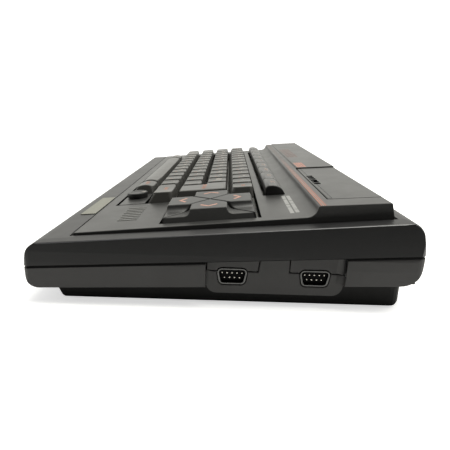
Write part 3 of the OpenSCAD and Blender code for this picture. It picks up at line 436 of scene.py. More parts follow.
def flat_copy(node_name):
    """A copy of a CAD node that stands on the panel, turned so that the panel is level"""
    bm = cad_copy(node_name)
    bmesh.ops.transform(bm, matrix=ON_PLATE.inverted(), verts=bm.verts)
    return bm


def onto_panel(bm, place=Matrix()):
    """Lays what was made on the level on the panel"""
    bmesh.ops.transform(bm, matrix=ON_PLATE @ place, verts=bm.verts)


def foot_z(edge):
    """Height of an edge's lower end"""
    return min(v.co.z for v in edge.verts)


def bevel(bm, edges, width, segments):
    return bmesh.ops.bevel(
        bm, geom=edges, offset=width, segments=segments, profile=0.5, affect="EDGES", material=-1
    )["verts"]


def round_edges(bm, width, segments=2, pick=None):
    """Rounds the sharp edges, except where a rounding would stray from its edge"""
    limit = math.radians(30)
    left_out = []
    made = None
    for _ in range(8):
        if made:
            made.free()
        made = bm.copy()
        edges = [
            e for e in made.edges
            if len(e.link_faces) == 2 and e.calc_face_angle(0) > limit
            and (pick is None or pick(e))
            and not any(near_edge(e, p, width * REACH) for p in left_out)
        ]
        points, lines = [], []
        for e in edges:
            n = len(points)
            a, b = (v.co.copy() for v in e.verts)
            points += [a, b, a + Vector((1e-7, 1e-7, 1e-7))]
            lines.append((n, n + 1, n + 2))
        tree = BVHTree.FromPolygons(points, lines)
        new = bevel(made, edges, width, segments)
        strays = {v for v in new if tree.find_nearest(v.co)[3] > width * STRAY}
        if not strays:
            break
        for v in strays:
            others = [e.other_vert(v) for e in v.link_edges]
            left_out += [w.co.copy() for w in others if w not in strays] or [v.co.copy()]
    bm.free()
    bmesh.ops.dissolve_degenerate(made, dist=2e-6, edges=made.edges)
    bmesh.ops.dissolve_limit(made, angle_limit=math.radians(0.12), verts=[], edges=made.edges)
    return made


def near_edge(edge, point, reach):
    """Whether a point lies close to an edge"""
    a, b = edge.verts[0].co, edge.verts[1].co
    t = max(0, min(1, (point - a).dot(b - a) / max((b - a).length_squared, 1e-12)))
    return (a.lerp(b, t) - point).length < reach


def paint(verts, index):
    """Gives the faces at some points a material"""
    for f in {f for v in verts for f in v.link_faces}:
        f.material_index = index


def box_between(bm, low, high, index=0):
    """A box between two corners"""
    made = bmesh.ops.create_cube(bm, size=1.0)["verts"]
    size = [h - l for l, h in zip(low, high)]
    bmesh.ops.scale(bm, vec=size, verts=made)
    bmesh.ops.translate(bm, vec=[(l + h) / 2 for l, h in zip(low, high)], verts=made)
    paint(made, index)
    return made


def print_bar(bm, x0, x1, y0, y1, height, lift=INK_LIFT, index=0):
    """A thin printed bar that follows the surface height(y)"""
    made = bmesh.ops.create_grid(bm, x_segments=1, y_segments=2, size=0.5)["verts"]
    for v in made:
        y = (y0 + y1) / 2 + v.co.y * (y1 - y0)
        v.co = Vector(((x0 + x1) / 2 + v.co.x * (x1 - x0), y, height(y) + lift))
    paint(made, index)


GLYPHS = {}


def glyph_mesh(text, size):
    """A flat mesh of one legend, centred on the origin"""
    key = (text, size)
    if key not in GLYPHS:
        curve = bpy.data.curves.new("legend", "FONT")
        curve.body = text
        curve.size = size
        curve.align_x = "CENTER"
        curve.align_y = "CENTER"
        curve.resolution_u = 2
        holder = add_object("legend", curve)
        bpy.context.view_layer.update()
        GLYPHS[key] = bpy.data.meshes.new_from_object(holder)
        bpy.data.objects.remove(holder)
        bpy.data.curves.remove(curve)
    return GLYPHS[key]


def add_legend(bm, text, size, x, s, surface, index):
    """Prints a legend on a key top, whose height over the panel is surface(x, s)"""
    known = set(bm.verts)
    bm.from_mesh(glyph_mesh(text, size))
    new = [v for v in bm.verts if v not in known]
    for v in new:
        px, ps = v.co.x + x, v.co.y + s
        v.co = Vector((px, ps, surface(px, ps) + LEGEND_LIFT))
    for f in {f for v in new for f in v.link_faces}:
        f.material_index = index
        f.normal_update()
        if f.normal.z < 0:
            f.normal_flip()


def clamp(value, limit):
    return max(-limit, min(limit, value))


def ring_point(p, inner, target, radius):
    """Moves a point of one rounded rectangle to the matching point of another"""
    q = Vector((clamp(p.x, inner[0]), clamp(p.y, inner[1])))
    d = Vector((p.x, p.y)) - q
    d = d.normalized() if d.length > 1e-9 else Vector((0, 0))
    return Vector((q.x * target[0] / inner[0], q.y * target[1] / inner[1])) + d * radius


def next_ring(bm, edges, move):
    """Extrudes an open rim and moves its new points"""
    made = bmesh.ops.extrude_edge_only(bm, edges=edges)["geom"]
    for v in [g for g in made if isinstance(g, bmesh.types.BMVert)]:
        v.co = move(v.co)
    return [g for g in made if isinstance(g, bmesh.types.BMEdge) and g.is_boundary]


def rod(bm, radius, length, segments, place):
    return bmesh.ops.create_cone(
        bm, cap_ends=True, segments=segments, radius1=radius, radius2=radius, depth=length,
        matrix=place,
    )["verts"]


def key_cap(bm, x0, x1, s0, s1, k, settings, stems):
    """A hollow key cap over a cell of row k, with a dished or crowned top and round stems"""
    corner, base_corner, wall, roof = 1.6 * MM, 0.9 * MM, 1.1 * MM, 1.6 * MM
    edge, dish = settings.edge, settings.dish
    crown = CROWN if k == 4 else 0
    back = top_shift(k)
    cx, cs = (x0 + x1) / 2, (s0 + s1) / 2 + back
    base = ((x1 - x0) / 2 - base_corner, (s1 - s0) / 2 - base_corner)
    top_depth = s1 - s0 - TOP_IN_FRONT[k] - TOP_IN_REAR
    top = ((x1 - x0) / 2 - TOP_IN_X - edge, top_depth / 2 - edge)
    inner = (top[0] - corner, top[1] - corner)

    def surface(x, s):
        if crown:
            return KEY_HIGH - crown * ((s - cs) / top[1]) ** 2
        return KEY_HIGH - dish * max(0.0, 1 - ((x - cx) / top[0]) ** 2)

    part = bmesh.new()
    grid = bmesh.ops.create_grid(part, x_segments=8, y_segments=8, size=1.0)["verts"]
    for v in grid:
        m = max(abs(v.co.x), abs(v.co.y))
        if m > 1e-6:
            p = Vector((v.co.x / m * top[0], v.co.y / m * top[1]))
            q = Vector((clamp(p.x, inner[0]), clamp(p.y, inner[1])))
            d = (p - q).normalized()
            p = (q + d * corner) * m
            v.co = Vector((p.x, p.y, 0))
        v.co.z = surface(v.co.x + cx, v.co.y + cs)
    rim = [e for e in part.edges if e.is_boundary]
    for step in (1, 2, 3):
        turn, last = math.radians(30 * step), math.radians(30 * (step - 1))
        out = edge * (math.sin(turn) - math.sin(last))
        drop = edge * (math.cos(last) - math.cos(turn))
        grown = corner + edge * math.sin(turn)

        def roll(p, grown=grown, drop=drop):
            q = ring_point(p, inner, inner, grown)
            return Vector((q.x, q.y, p.z - drop))

        rim = next_ring(part, rim, roll)

    def skirt(inset, source, was):
        target = (base[0] - inset, base[1] - inset)

        def move(p):
            q = ring_point(Vector((p.x, p.y + was)), source, target, base_corner)
            return Vector((q.x, q.y - back, KEY_LOW))

        return move

    rim = next_ring(part, rim, skirt(0, inner, 0))
    rim = next_ring(part, rim, skirt(wall, base, back))
    ceiling = (top[0] - wall - 0.5 * MM, top[1] - wall - 0.5 * MM)
    below = (base[0] - wall, base[1] - wall)
    inside_corner = 0.3 * MM

    def lift(p):
        target = (ceiling[0] - inside_corner, ceiling[1] - inside_corner)
        q = ring_point(Vector((p.x, p.y + back)), below, target, inside_corner)
        return Vector((q.x, q.y, KEY_HIGH - roof - dish))

    rim = next_ring(part, rim, lift)
    bmesh.ops.edgeloop_fill(part, edges=rim)
    bmesh.ops.recalc_face_normals(part, faces=part.faces)
    # The stems reach a little into the roof
    for sx, ss in stems:
        length = KEY_HIGH - roof + 0.1 * MM - dish - STEM_LOW
        place = Matrix.Translation((sx - cx, ss - cs, STEM_LOW + length / 2))
        rod(part, STEM_R, length, 20, place)
    bmesh.ops.translate(part, vec=(cx, cs, 0), verts=part.verts)
    mesh = bpy.data.meshes.new("cap")
    part.to_mesh(mesh)
    part.free()
    bm.from_mesh(mesh)
    bpy.data.meshes.remove(mesh)
    return surface


def top_shift(k):
    """How far the middle of a key's top lies behind the middle of its base"""
    return (TOP_IN_FRONT[k] - TOP_IN_REAR) / 2


def cell(u0, u1, k, gap=0.45 * MM):
    """Skirt of the key between units u0 and u1 in row k"""
    return unit_x(u1) + gap, unit_x(u0) - gap, row_s(k + 0.5) + gap, row_s(k - 0.5) - gap


# ---- pieces


class Build:
    """Common part of the operators"""

    bl_options = {"REGISTER", "UNDO"}


class COMPUTER_OT_stage(Build, bpy.types.Operator):
    """Pale floor, soft light and the camera at the photograph's viewpoint"""

    bl_idname = "computer.stage"
    bl_label = "Stage"

    def execute(self, context):
        scene, settings = context.scene, context.scene.computer_stage
        scene.view_settings.view_transform = "Standard"
        bm = bmesh.new()
        # The table's front edge lies just outside the picture
        half = 4.0
        place = Matrix.Translation((TABLE_EDGE - half, 0, 0))
        bmesh.ops.create_grid(bm, x_segments=2, y_segments=2, size=half, matrix=place)
        mesh = bpy.data.meshes.new("floor")
        bm.to_mesh(mesh)
        bm.free()
        mesh.materials.append(self.floor_material(settings))
        add_object("floor", mesh)
        self.sky(scene, settings)
        lamp = bpy.data.lights.new("overhead", "AREA")
        lamp.shape = "RECTANGLE"
        lamp.size, lamp.size_y = LAMP_SIZE
        lamp.energy = settings.lamp
        lamp.color = WARM
        holder = add_object("overhead", lamp)
        holder.location = LAMP_PLACE
        towards = Vector((0, 0, 0.03)) - LAMP_PLACE
        holder.rotation_euler = towards.to_track_quat("-Z", "Y").to_euler()
        self.camera(scene, settings)
        return {"FINISHED"}

    def floor_material(self, settings):
        """A matt white that also glows a little for the camera"""
        made, tree, shader = start_material("floor_white")
        shader.inputs["Roughness"].default_value = 0.9
        white = mottle(tree, noise(tree, 3, 2), settings.floor, 0.01)
        tree.links.new(white, shader.inputs["Base Color"])
        scale = node(tree, "Math", operation="MULTIPLY")
        scale.inputs[1].default_value = 0.6
        tree.links.new(node(tree, "LightPath").outputs["Is Camera Ray"], scale.inputs[0])
        glow = node(tree, "Emission", Color=(1, 1, 1, 1), Strength=scale.outputs[0])
        both = node(tree, "AddShader")
        tree.links.new(shader.outputs[0], both.inputs[0])
        tree.links.new(glow.outputs[0], both.inputs[1])
        tree.links.new(both.outputs[0], tree.nodes["Material Output"].inputs["Surface"])
        return made

    def sky(self, scene, settings):
        """A bright backdrop behind the object and above it, and a dim room in front of it"""
        world = bpy.data.worlds.new("soft_white")
        scene.world = world
        world.use_nodes = True
        tree = world.node_tree
        parts = node(tree, "SeparateXYZ", Vector=node(tree, "TexCoord").outputs["Generated"])
        along = parts.outputs["X"]
        path = node(tree, "LightPath").outputs

        def fall(back, share):
            """Strength that falls to a share of it from the rear of the set to its front"""
            return remap(tree, along, -0.1, 0.7, back, back * share, "SMOOTHSTEP")

        def most(a, b):
            made = node(tree, "Math", operation="MAXIMUM")
            tree.links.new(a, made.inputs[0])
            tree.links.new(b, made.inputs[1])
            return made.outputs[0]

        light = tree.nodes["Background"]
        light.inputs["Color"].default_value = (1, 0.995, 0.985, 1)
        tree.links.new(fall(settings.sky, 0.24), light.inputs["Strength"])
        tint = blend(tree, path["Is Camera Ray"], WARM, (1, 1, 1))
        strength = most(fall(settings.mirror, 0.04), path["Is Camera Ray"])
        shown = node(tree, "Background", Color=tint, Strength=strength)
        # Camera, glossy and transmission rays see the backdrop, and the others the light
        seen = most(path["Is Camera Ray"], path["Is Glossy Ray"])
        mix = node(tree, "MixShader", Fac=most(seen, path["Is Transmission Ray"]))
        tree.links.new(light.outputs[0], mix.inputs[1])
        tree.links.new(shown.outputs[0], mix.inputs[2])
        tree.links.new(mix.outputs[0], tree.nodes["World Output"].inputs["Surface"])

    def camera(self, scene, settings):
        """The camera where the photograph was taken from"""
        yaw, pitch, roll = VIEW_TURN
        level = math.cos(pitch)
        ahead = Vector((-level * math.cos(yaw), level * math.sin(yaw), -math.sin(pitch)))
        side = ahead.cross(Vector((0, 0, 1))).normalized()
        above = side.cross(ahead)
        right = math.cos(roll) * side + math.sin(roll) * above
        top = -math.sin(roll) * side + math.cos(roll) * above
        lens = bpy.data.cameras.new("camera")
        lens.sensor_width = 36
        lens.lens = settings.lens
        lens.clip_start = 0.01
        holder = add_object("camera", lens)
        turn = Matrix((right, top, -ahead)).transposed().to_4x4()
        holder.matrix_world = Matrix.Translation(VIEWPOINT) @ turn
        scene.camera = holder


class COMPUTER_OT_case(Build, bpy.types.Operator):
    """Upper and lower shells, keyboard panel, cartridge flap and name plate"""

    bl_idname = "computer.case"
    bl_label = "Case"

    def execute(self, context):
        settings = context.scene.computer_case
        shell = moulded("charcoal_plastic", settings.shell, 0.42)
        # The lower shell's lighter colour is painted light for the floor's bounce
        lower = moulded("lower_painted_light_plastic", settings.lower, 0.45)
        # A near-black painted shade for the well walls round the keys, the knob ledge's sides and
        # the seam under the upper shell
        shade = moulded("painted_shade_black", settings.tray, 0.6, sheen=0.05)
        # A less glossy copy of the shell plastic for the upper shell's sides: painted shade for
        # the dim light in front of them
        side = moulded("side_painted_shade_plastic", settings.shell, 0.42, sheen=0.38)
        # A painted highlight along the rim's rounded outer edge: a lighter, glossier copy of the
        # shell plastic
        painted_highlight = moulded("rim_painted_highlight", [c * 7 for c in settings.shell], 0.38, sheen=0.95)
        # Painted shade for the tray and for the lower shell's faces under the seam: near black at
        # the floor, lighter up the tray
        foot = fading("tray_painted_shade", settings.tray, (0.018, 0.018, 0.018), "Z", 0.003, 0.0135, 0.1)
        panel = moulded("charcoal_panel", settings.panel, 0.4)
        edge = settings.edge
        for source, name, made, slot, width in (
            ("top_case", "upper_shell", shell, "case_top", edge),
            ("bottom_case", "lower_shell", lower, "case_bottom", edge),
            ("keyboard_panel", "key_panel", panel, "case_panel", edge),
            ("cartridge_flap", "flap_lid", panel, "case_panel", edge * 0.6),
            ("knob_base", "knob_ledge", panel, "case_panel", edge * 0.5),
        ):
            body = "cartridge_flap" if source == "cartridge_flap" else "console"
            bm = cad_copy(source)
            if source == "knob_base":
                # The ledge stands clear of its well in front
                front = min(v.co.y for v in bm.verts)
                for v in bm.verts:
                    if v.co.y < front + 2 * MM:
                        v.co.y += 0.9 * MM
            if source == "top_case":
                # The rim's outer edge is rounder than the rest
                bm = round_edges(bm, settings.rim, 4, pick=self.on_rim)
            bm = round_edges(bm, width)
            for f in bm.faces:
                f.material_index = self.shaded(source, f)
            # The dark material is painted shade: the fading one on the lower shell, the near-black
            # one on the other pieces
            dark = foot if source == "bottom_case" else shade
            finish_piece(bm, name, body, slot, [made, dark, side, painted_highlight, lower], [source])
        plate = brushed("plain_plate", (0.225, 0.225, 0.19), 0.5)
        bm = round_edges(cad_copy("name_plate"), 0.15 * MM)
        finish_piece(bm, "plain_name_plate", "console", "plate_metal", [plate], ["name_plate"])
        return {"FINISHED"}

    def shaded(self, source, f):
        """Material of a face: 0 plain, 1 painted shade, 2 the shell's sides in a painted shade, 3
        a painted highlight on its rim edge, 4 its lugs in a painted light
        """
        c = f.calc_center_median()
        outer = abs(c.x) > RIM_X
        if source == "top_case":
            # Painted shade along the seam under the upper shell
            if outer and f.normal.z < -0.2:
                return 1
            # Painted light: the lugs under the overhang get the lower shell's lighter colour
            if LUG_X0 < c.x < LUG_X1 and c.z < LUG_Z and f.normal.x > 0.5:
                return 4
            # Painted shade: the upper shell's sides get the less glossy copy
            if abs(f.normal.x) > 0.93:
                return 2
            # Painted highlight on the rim's rounded outer edge
            return 3 if outer and abs(f.normal.x) > 0.25 and c.z > RIM_Z else 0
        if source == "bottom_case":
            # Painted shade: the lower shell's upward faces under the seam, and the tray's faces
            seam = outer and f.normal.z > 0.3 and c.z > SEAM_Z
            return int(seam or (c.z < TRAY_Z and abs(c.x) < TRAY_X))
        if source == "keyboard_panel":
            # Painted shade on the well walls round the keys
            well = abs(c.x) < WELL_X and WELL_FRONT < c.y < WELL_REAR
            return int(well and f.normal.z < 0.5)
        # Painted shade on the knob ledge's sides
        return int(source == "knob_base" and f.normal.z < 0.5)

    def on_rim(self, e):
        """Whether an edge runs along the rim, and not across it"""
        a, b = (v.co for v in e.verts)
        high = all(p.z > RIM_Z and abs(p.x) > RIM_X for p in (a, b))
        return high and abs(a.y - b.y) > 0.5 * MM


class COMPUTER_OT_markings(Build, bpy.types.Operator):
    """Stripes and plain bars on the deck and panel, the embossed ribs and the flap's grip"""

    bl_idname = "computer.markings"
    bl_label = "Markings"

    def execute(self, context):
        settings = context.scene.computer_case
        bm = bmesh.new()
        flap0, flap1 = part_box("cartridge_flap")
        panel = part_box("keyboard_panel")
        left, right = panel[0].x + 0.6 * MM, panel[1].x - 0.6 * MM
        # Stripes along the deck's front: place, width and ink
        stripes = ((51.7, 0.55, 0), (52.75, 0.5, 1), (53.75, 0.5, 0), (54.75, 0.35, 2))
        for y, width, made in stripes:
            print_bar(bm, left, right, y * MM, (y + width) * MM, deck_z, index=made)
        # Two patches of small printed bars beside the flap: corners and ink
        odd, even = ((0, 0.3), (0.34, 0.62), (0.65, 1)), ((0, 0.45), (0.49, 0.8), (0.83, 1))
        for x0, x1, y0, y1, made in ((14, 40, 59.5, 67.5, 3), (-100, -26, 60, 71, 4)):
            for i in range(4):
                low, high = [(y0 + (y1 - y0) * t) * MM for t in (i / 4, i / 4 + 0.2)]
                for bar in odd if i % 2 else even:
                    ends = [(x0 + (x1 - x0) * t) * MM for t in bar]
                    print_bar(bm, *ends, low, high, lambda y: deck_z(y) + DECK_STEP, index=made)
        inks = [
            fading("stripe_ink", (0.07, 0.047, 0.043), settings.stripe, "X", -0.03, 0.13),
            fading("pale_stripe_ink", (0.085, 0.055, 0.05), (0.33, 0.2, 0.15), "X", -0.03, 0.1),
            fading(
                "faint_stripe_ink", (0.05, 0.036, 0.034), (0.16, 0.075, 0.055), "X", -0.03, 0.13
            ),
            ink("patch_ink", (0.36, 0.15, 0.105)),
            ink("faint_patch_ink", (0.075, 0.042, 0.036)),
        ]
        finish_piece(bm, "deck_stripes", "console", "case_panel", inks)

        def panel_z(y):
            return PLATE_Z + y * math.tan(PLATE_TILT)

        # Two printed lines beside the keys, with gaps in them
        bm = bmesh.new()
        start, width = 117, 2.3
        for y, dashes in (
            (36.9, ((0, 9), (10, 24), (25, 30), (31, 45))),
            (40.1, ((0, 14), (15, 21), (22, 36), (37, 44))),
        ):
            for dash in dashes:
                ends = [(start + t) * MM for t in dash]
                print_bar(bm, *ends, y * MM, (y + width) * MM, panel_z)
        pale = ink("pale_ink", settings.print_grey)
        finish_piece(bm, "printed_lines", "console", "case_panel", [pale])

        # A row of plain embossed ribs in the front right corner, lighter than the panel as a
        # painted highlight on their ridges
        bm = bmesh.new()
        for i in range(8):
            x = (123 + 4.2 * i) * MM
            box_between(bm, (x, -66 * MM, -0.3 * MM), (x + 1.2 * MM, -54 * MM, 0.3 * MM))
        onto_panel(bm)
        # Painted highlight: the ribs are lighter than the panel
        painted_highlight = moulded("embossed_rib_painted_highlight", (0.15, 0.15, 0.14))
        bm = round_edges(bm, 0.2 * MM, 3)
        finish_piece(bm, "embossed_ribs", "console", "case_panel", [painted_highlight])

        # A dark line along the flap's front and a short one at its near end, painted shade in
        # place of a groove, and a dark finger grip of short ribs
        bm = bmesh.new()
        bm.from_mesh(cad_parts["cartridge_flap"].data)
        lid = BVHTree.FromBMesh(bm)
        bm.free()

        def lid_z(x, y):
            hit = lid.ray_cast(Vector((x, y, 0.1)), Vector((0, 0, -1)))[0]
            return (hit.z if hit else deck_z(y)) + 0.06 * MM

        bm = bmesh.new()
        # The dark lines are painted shade where a groove would be
        groove = flap0.y + 2.4 * MM
        for x0, x1, y0, y1 in (
            (flap0.x + 0.8 * MM, flap1.x - 1.2 * MM, groove, groove + 0.4 * MM),
            (flap1.x - 1.6 * MM, flap1.x - 1.2 * MM, flap0.y + 0.5 * MM, groove),
        ):
            print_bar(bm, x0, x1, y0, y1, lambda y: lid_z((x0 + x1) / 2, y), 0)
        for i in range(6):
            x = (80 + 5.8 * i) * MM
            for v in box_between(bm, (x, 60 * MM, 0), (x + 2.6 * MM, 64.2 * MM, 1)):
                top, foot = deck_z(v.co.y) + 0.25 * MM, lid_z(v.co.x, v.co.y) - 0.9 * MM
                v.co.z = top if v.co.z > 0.5 else foot
        dark = moulded("grip_black", (0.003, 0.003, 0.004), 0.85, sheen=0.0)
        finish_piece(bm, "flap_grip", "cartridge_flap", "case_panel", [dark])
        return {"FINISHED"}


class COMPUTER_OT_keys(Build, bpy.types.Operator):
    """Letter, number and wide keys, with dished tops and legends"""

    bl_idname = "computer.keys"
    bl_label = "Keys"

    # Body, first unit, row, and legends from the right end
    runs = (
        ("number_keys", 1, 0, "\\^-0987654321"),
        ("upper_letter_keys", 1.5, 1, "@POIUYTREWQ"),
        ("home_letter_keys", 1.25, 2, ":;LKJHGFDSA"),
        ("lower_letter_keys", 1.75, 3, "/.,MNBVCXZ"),
    )
    # Body, units, row and legend
    wide = (
        ("backspace_key", 0, 1, 0, "BS"),
        ("tab_key", 12.5, 14, 1, "TAB"),
        ("control_key", 12.25, 14, 2, "CTRL"),
        ("right_shift_key", 0, 1.75, 3, "SHIFT"),
        ("left_shift_key", 11.75, 14, 3, "SHIFT"),
        ("code_key", 1.75, 3, 4, "CODE"),
        ("graph_key", 11, 12.25, 4, "GRAPH"),
    )

    # Small second legends of the plain keys
    signs = "-+*o="

    def execute(self, context):
        self.settings = context.scene.computer_keys
        self.materials = [
            moulded("key_plastic", self.settings.cap, 0.35, 2200, 0.1, 0.08),
            ink("legend_ink", self.settings.legend),
            ink("accent_ink", self.settings.accent),
        ]
        for body, first, k, legends in self.runs:
            bm = bmesh.new()
            for i, legend in enumerate(legends):
                surface, x, s = self.cap(bm, first + i, first + i + 1, k)
                sign = self.signs[i % len(self.signs)]
                add_legend(bm, legend, 5.2 * MM, x - 3.2 * MM, s + 1.6 * MM, surface, 1)
                add_legend(bm, sign, 5.5 * MM, x + 3 * MM, s - 1.8 * MM, surface, 2)
            self.finish(bm, body)
        for body, u0, u1, k, legend in self.wide:
            bm = bmesh.new()
            surface, x, s = self.cap(bm, u0, u1, k)
            # The keys at the left end have smaller, pale legends
            size, made = (3.2 * MM, 1) if u0 > 10 else (4 * MM, 2)
            add_legend(bm, legend, size, x, s + 0.5 * MM, surface, made)
            self.finish(bm, body)
        self.space_bar()
        self.return_key()
        return {"FINISHED"}

    def cap(self, bm, u0, u1, k):
        """A cap over one stem; gives its surface and the middle of its top"""
        x0, x1, s0, s1 = cell(u0, u1, k)
        x, s = (x0 + x1) / 2, (s0 + s1) / 2
        return key_cap(bm, x0, x1, s0, s1, k, self.settings, [(x, s)]), x, s + top_shift(k)

    def finish(self, bm, body):
        onto_panel(bm)
        name = body.replace("_key", "_cap")
        finish_piece(bm, name, body, "keycap", self.materials, [body], angle=40)

    def space_bar(self):
        bm = bmesh.new()
        x0, x1, s0, s1 = cell(3, 11, 4)
        s = (s0 + s1) / 2
        reach = 1.2 * KEY_PITCH
        stems = [(unit_x(3) - reach, s), ((x0 + x1) / 2, s), (unit_x(11) + reach, s)]
        key_cap(bm, x0, x1, s0, s1, 4, self.settings, stems)
        self.finish(bm, "space_bar")

    def return_key(self):
        """The return key starts from the CAD solid, because it covers two rows"""
        bm = flat_copy("return_key")
        bm = round_edges(bm, self.settings.edge, 3, pick=lambda e: foot_z(e) > 0)
        s = row_s(1.45) + top_shift(1)
        add_legend(bm, "RETURN", 4 * MM, unit_x(0.66), s, lambda x, s: KEY_HIGH, 2)
        self.finish(bm, "return_key")


class COMPUTER_OT_cursor_keys(Build, bpy.types.Operator):
    """The four cursor keys, each with an orange arrow on its raised arm"""

    bl_idname = "computer.cursor_keys"
    bl_label = "Cursor keys"

    def execute(self, context):
        settings = context.scene.computer_keys
        plastic = moulded("cursor_plastic", settings.cursor, 0.46, 2200, 0.1)
        materials = [plastic, ink("arrow_ink", (0.5, 0.25, 0.18))]
        centre = Matrix.Translation((*CURSOR_CENTRE, 0))
        # The two strokes of an arrow: size, slant, how far out and how far apart
        stroke = Matrix.Diagonal((1.5 * MM, 6.6 * MM, 1, 1))
        slant, out, apart = math.radians(38), 17 * MM, 2.3 * MM
        for name, turn in (("up", 90), ("down", -90), ("left", 180), ("right", 0)):
            body = f"cursor_{name}_key"
            bm = round_edges(flat_copy(body), 0.45 * MM, 3, pick=lambda e: foot_z(e) > 1.5 * MM)
            place = centre @ Matrix.Rotation(math.radians(turn), 4, "Z")
            for side in (-1, 1):
                made = bmesh.ops.create_grid(bm, x_segments=1, y_segments=1, size=0.5)["verts"]
                shape = Matrix.Translation((out, -side * apart, KEY_HIGH + LEGEND_LIFT))
                shape = shape @ Matrix.Rotation(-side * slant, 4, "Z") @ stroke
                bmesh.ops.transform(bm, matrix=place @ shape, verts=made)
                paint(made, 1)
            onto_panel(bm)
            finish_piece(bm, f"cursor_{name}_cap", body, "keycap", materials, [body], angle=34)
        return {"FINISHED"}


class COMPUTER_OT_function_keys(Build, bpy.types.Operator):
    """Nine arched function keys with orange legends"""

    bl_idname = "computer.function_keys"
    bl_label = "Function keys"

    names = ("DEL", "INS", "HOME", "STOP", "F5", "F4", "F3", "F2", "F1")

    def execute(self, context):
        settings = context.scene.computer_keys
        gloss = moulded("function_key_plastic", settings.function_cap, 0.34, 2600, 0.06, 0.06, 0.4)
        materials = [gloss, ink("function_ink", (0.5, 0.33, 0.25))]
        # The arch's depth, the part of it in front of the crest, and the crest's height
        depth, front_part, high = 13 * MM, 0.36, 6.6 * MM
        for i, text in enumerate(self.names):
            body = f"function_key_{i + 1}"
            bm = flat_copy(body)
            xs = [v.co.x for v in bm.verts]
            ends = min(xs), max(xs)

            def at_end(e, ends=ends):
                at = [all(abs(v.co.x - end) < 1e-5 for v in e.verts) for end in ends]
                return foot_z(e) > -1.5 * MM and any(at)

            bm = round_edges(bm, 0.8 * MM, 3, pick=at_end)
            front = min(v.co.y for v in bm.verts if v.co.z > -3 * MM)
            crest, reach = front + depth * front_part, depth * (1 - front_part)

            def arch(x, s, crest=crest, reach=reach):
                t = max(0.0, min(0.98, (s - crest) / reach))
                return high * math.sqrt(1 - t * t)

            add_legend(bm, text, 4.2 * MM, sum(ends) / 2, crest + 1.8 * MM, arch, 1)
            onto_panel(bm)
            name = f"function_cap_{i + 1}"
            finish_piece(bm, name, body, "fn_cap", materials, [body], angle=40)
        return {"FINISHED"}


class COMPUTER_OT_knob(Build, bpy.types.Operator):
    """Flat rotary knob with a ribbed rim and a pointer"""

    bl_idname = "computer.knob"
    bl_label = "Knob"

    def execute(self, context):
        settings = context.scene.computer_keys
        radius, steps = 7.5 * MM, 72
        bm = bmesh.new()
        # Half profile, as radius and height, turned round the knob's axis
        profile = (
            (0, 3.9), (4.6, 3.9), (5.4, 4.2), (6.9, 4.2), (7.3, 3.95), (7.5, 3.5), (7.5, 1),
            (7.1, 0.5), (3, 0.5), (3, -8.5), (0, -8.5),
        )
        verts = [bm.verts.new((r * MM, 0, n * MM)) for r, n in profile]
        edges = [bm.edges.new(pair) for pair in zip(verts, verts[1:])]
        bmesh.ops.spin(
            bm, geom=verts + edges, cent=(0, 0, 0), axis=(0, 0, 1), angle=math.tau, steps=steps,
            use_merge=True,
        )
        bmesh.ops.remove_doubles(bm, verts=bm.verts, dist=1e-6)
        bmesh.ops.recalc_face_normals(bm, faces=bm.faces)
        # Every second step of the rim lies deeper, between the ribs
        for v in bm.verts:
            if v.co.xy.length > radius - 0.1 * MM:
                if round(math.atan2(v.co.y, v.co.x) / math.tau * steps) % 2:
                    v.co.x *= 0.975
                    v.co.y *= 0.975
        low, high = (-0.4 * MM, 3.2 * MM, 3.7 * MM), (0.4 * MM, radius - 1.2 * MM, 4.25 * MM)
        pointer = box_between(bm, low, high, 1)
        bevel(bm, list(dict.fromkeys(e for v in pointer for e in v.link_edges)), 0.08 * MM, 1)
        # The knob's place across is the middle of its CAD disc
        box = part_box("rotary_knob")
        s = ROW_S0 - 4 * KEY_PITCH - 1 * MM
        onto_panel(bm, Matrix.Translation(((box[0].x + box[1].x) / 2, s, 0)))
        black = moulded("knob_plastic", (0.012, 0.012, 0.012), 0.42, 2500, 0.1)
        materials = [black, ink("legend_ink", settings.legend)]
        finish_piece(
            bm, "flat_knob", "rotary_knob", "knob_black", materials, ["rotary_knob"], angle=35
        )
        return {"FINISHED"}


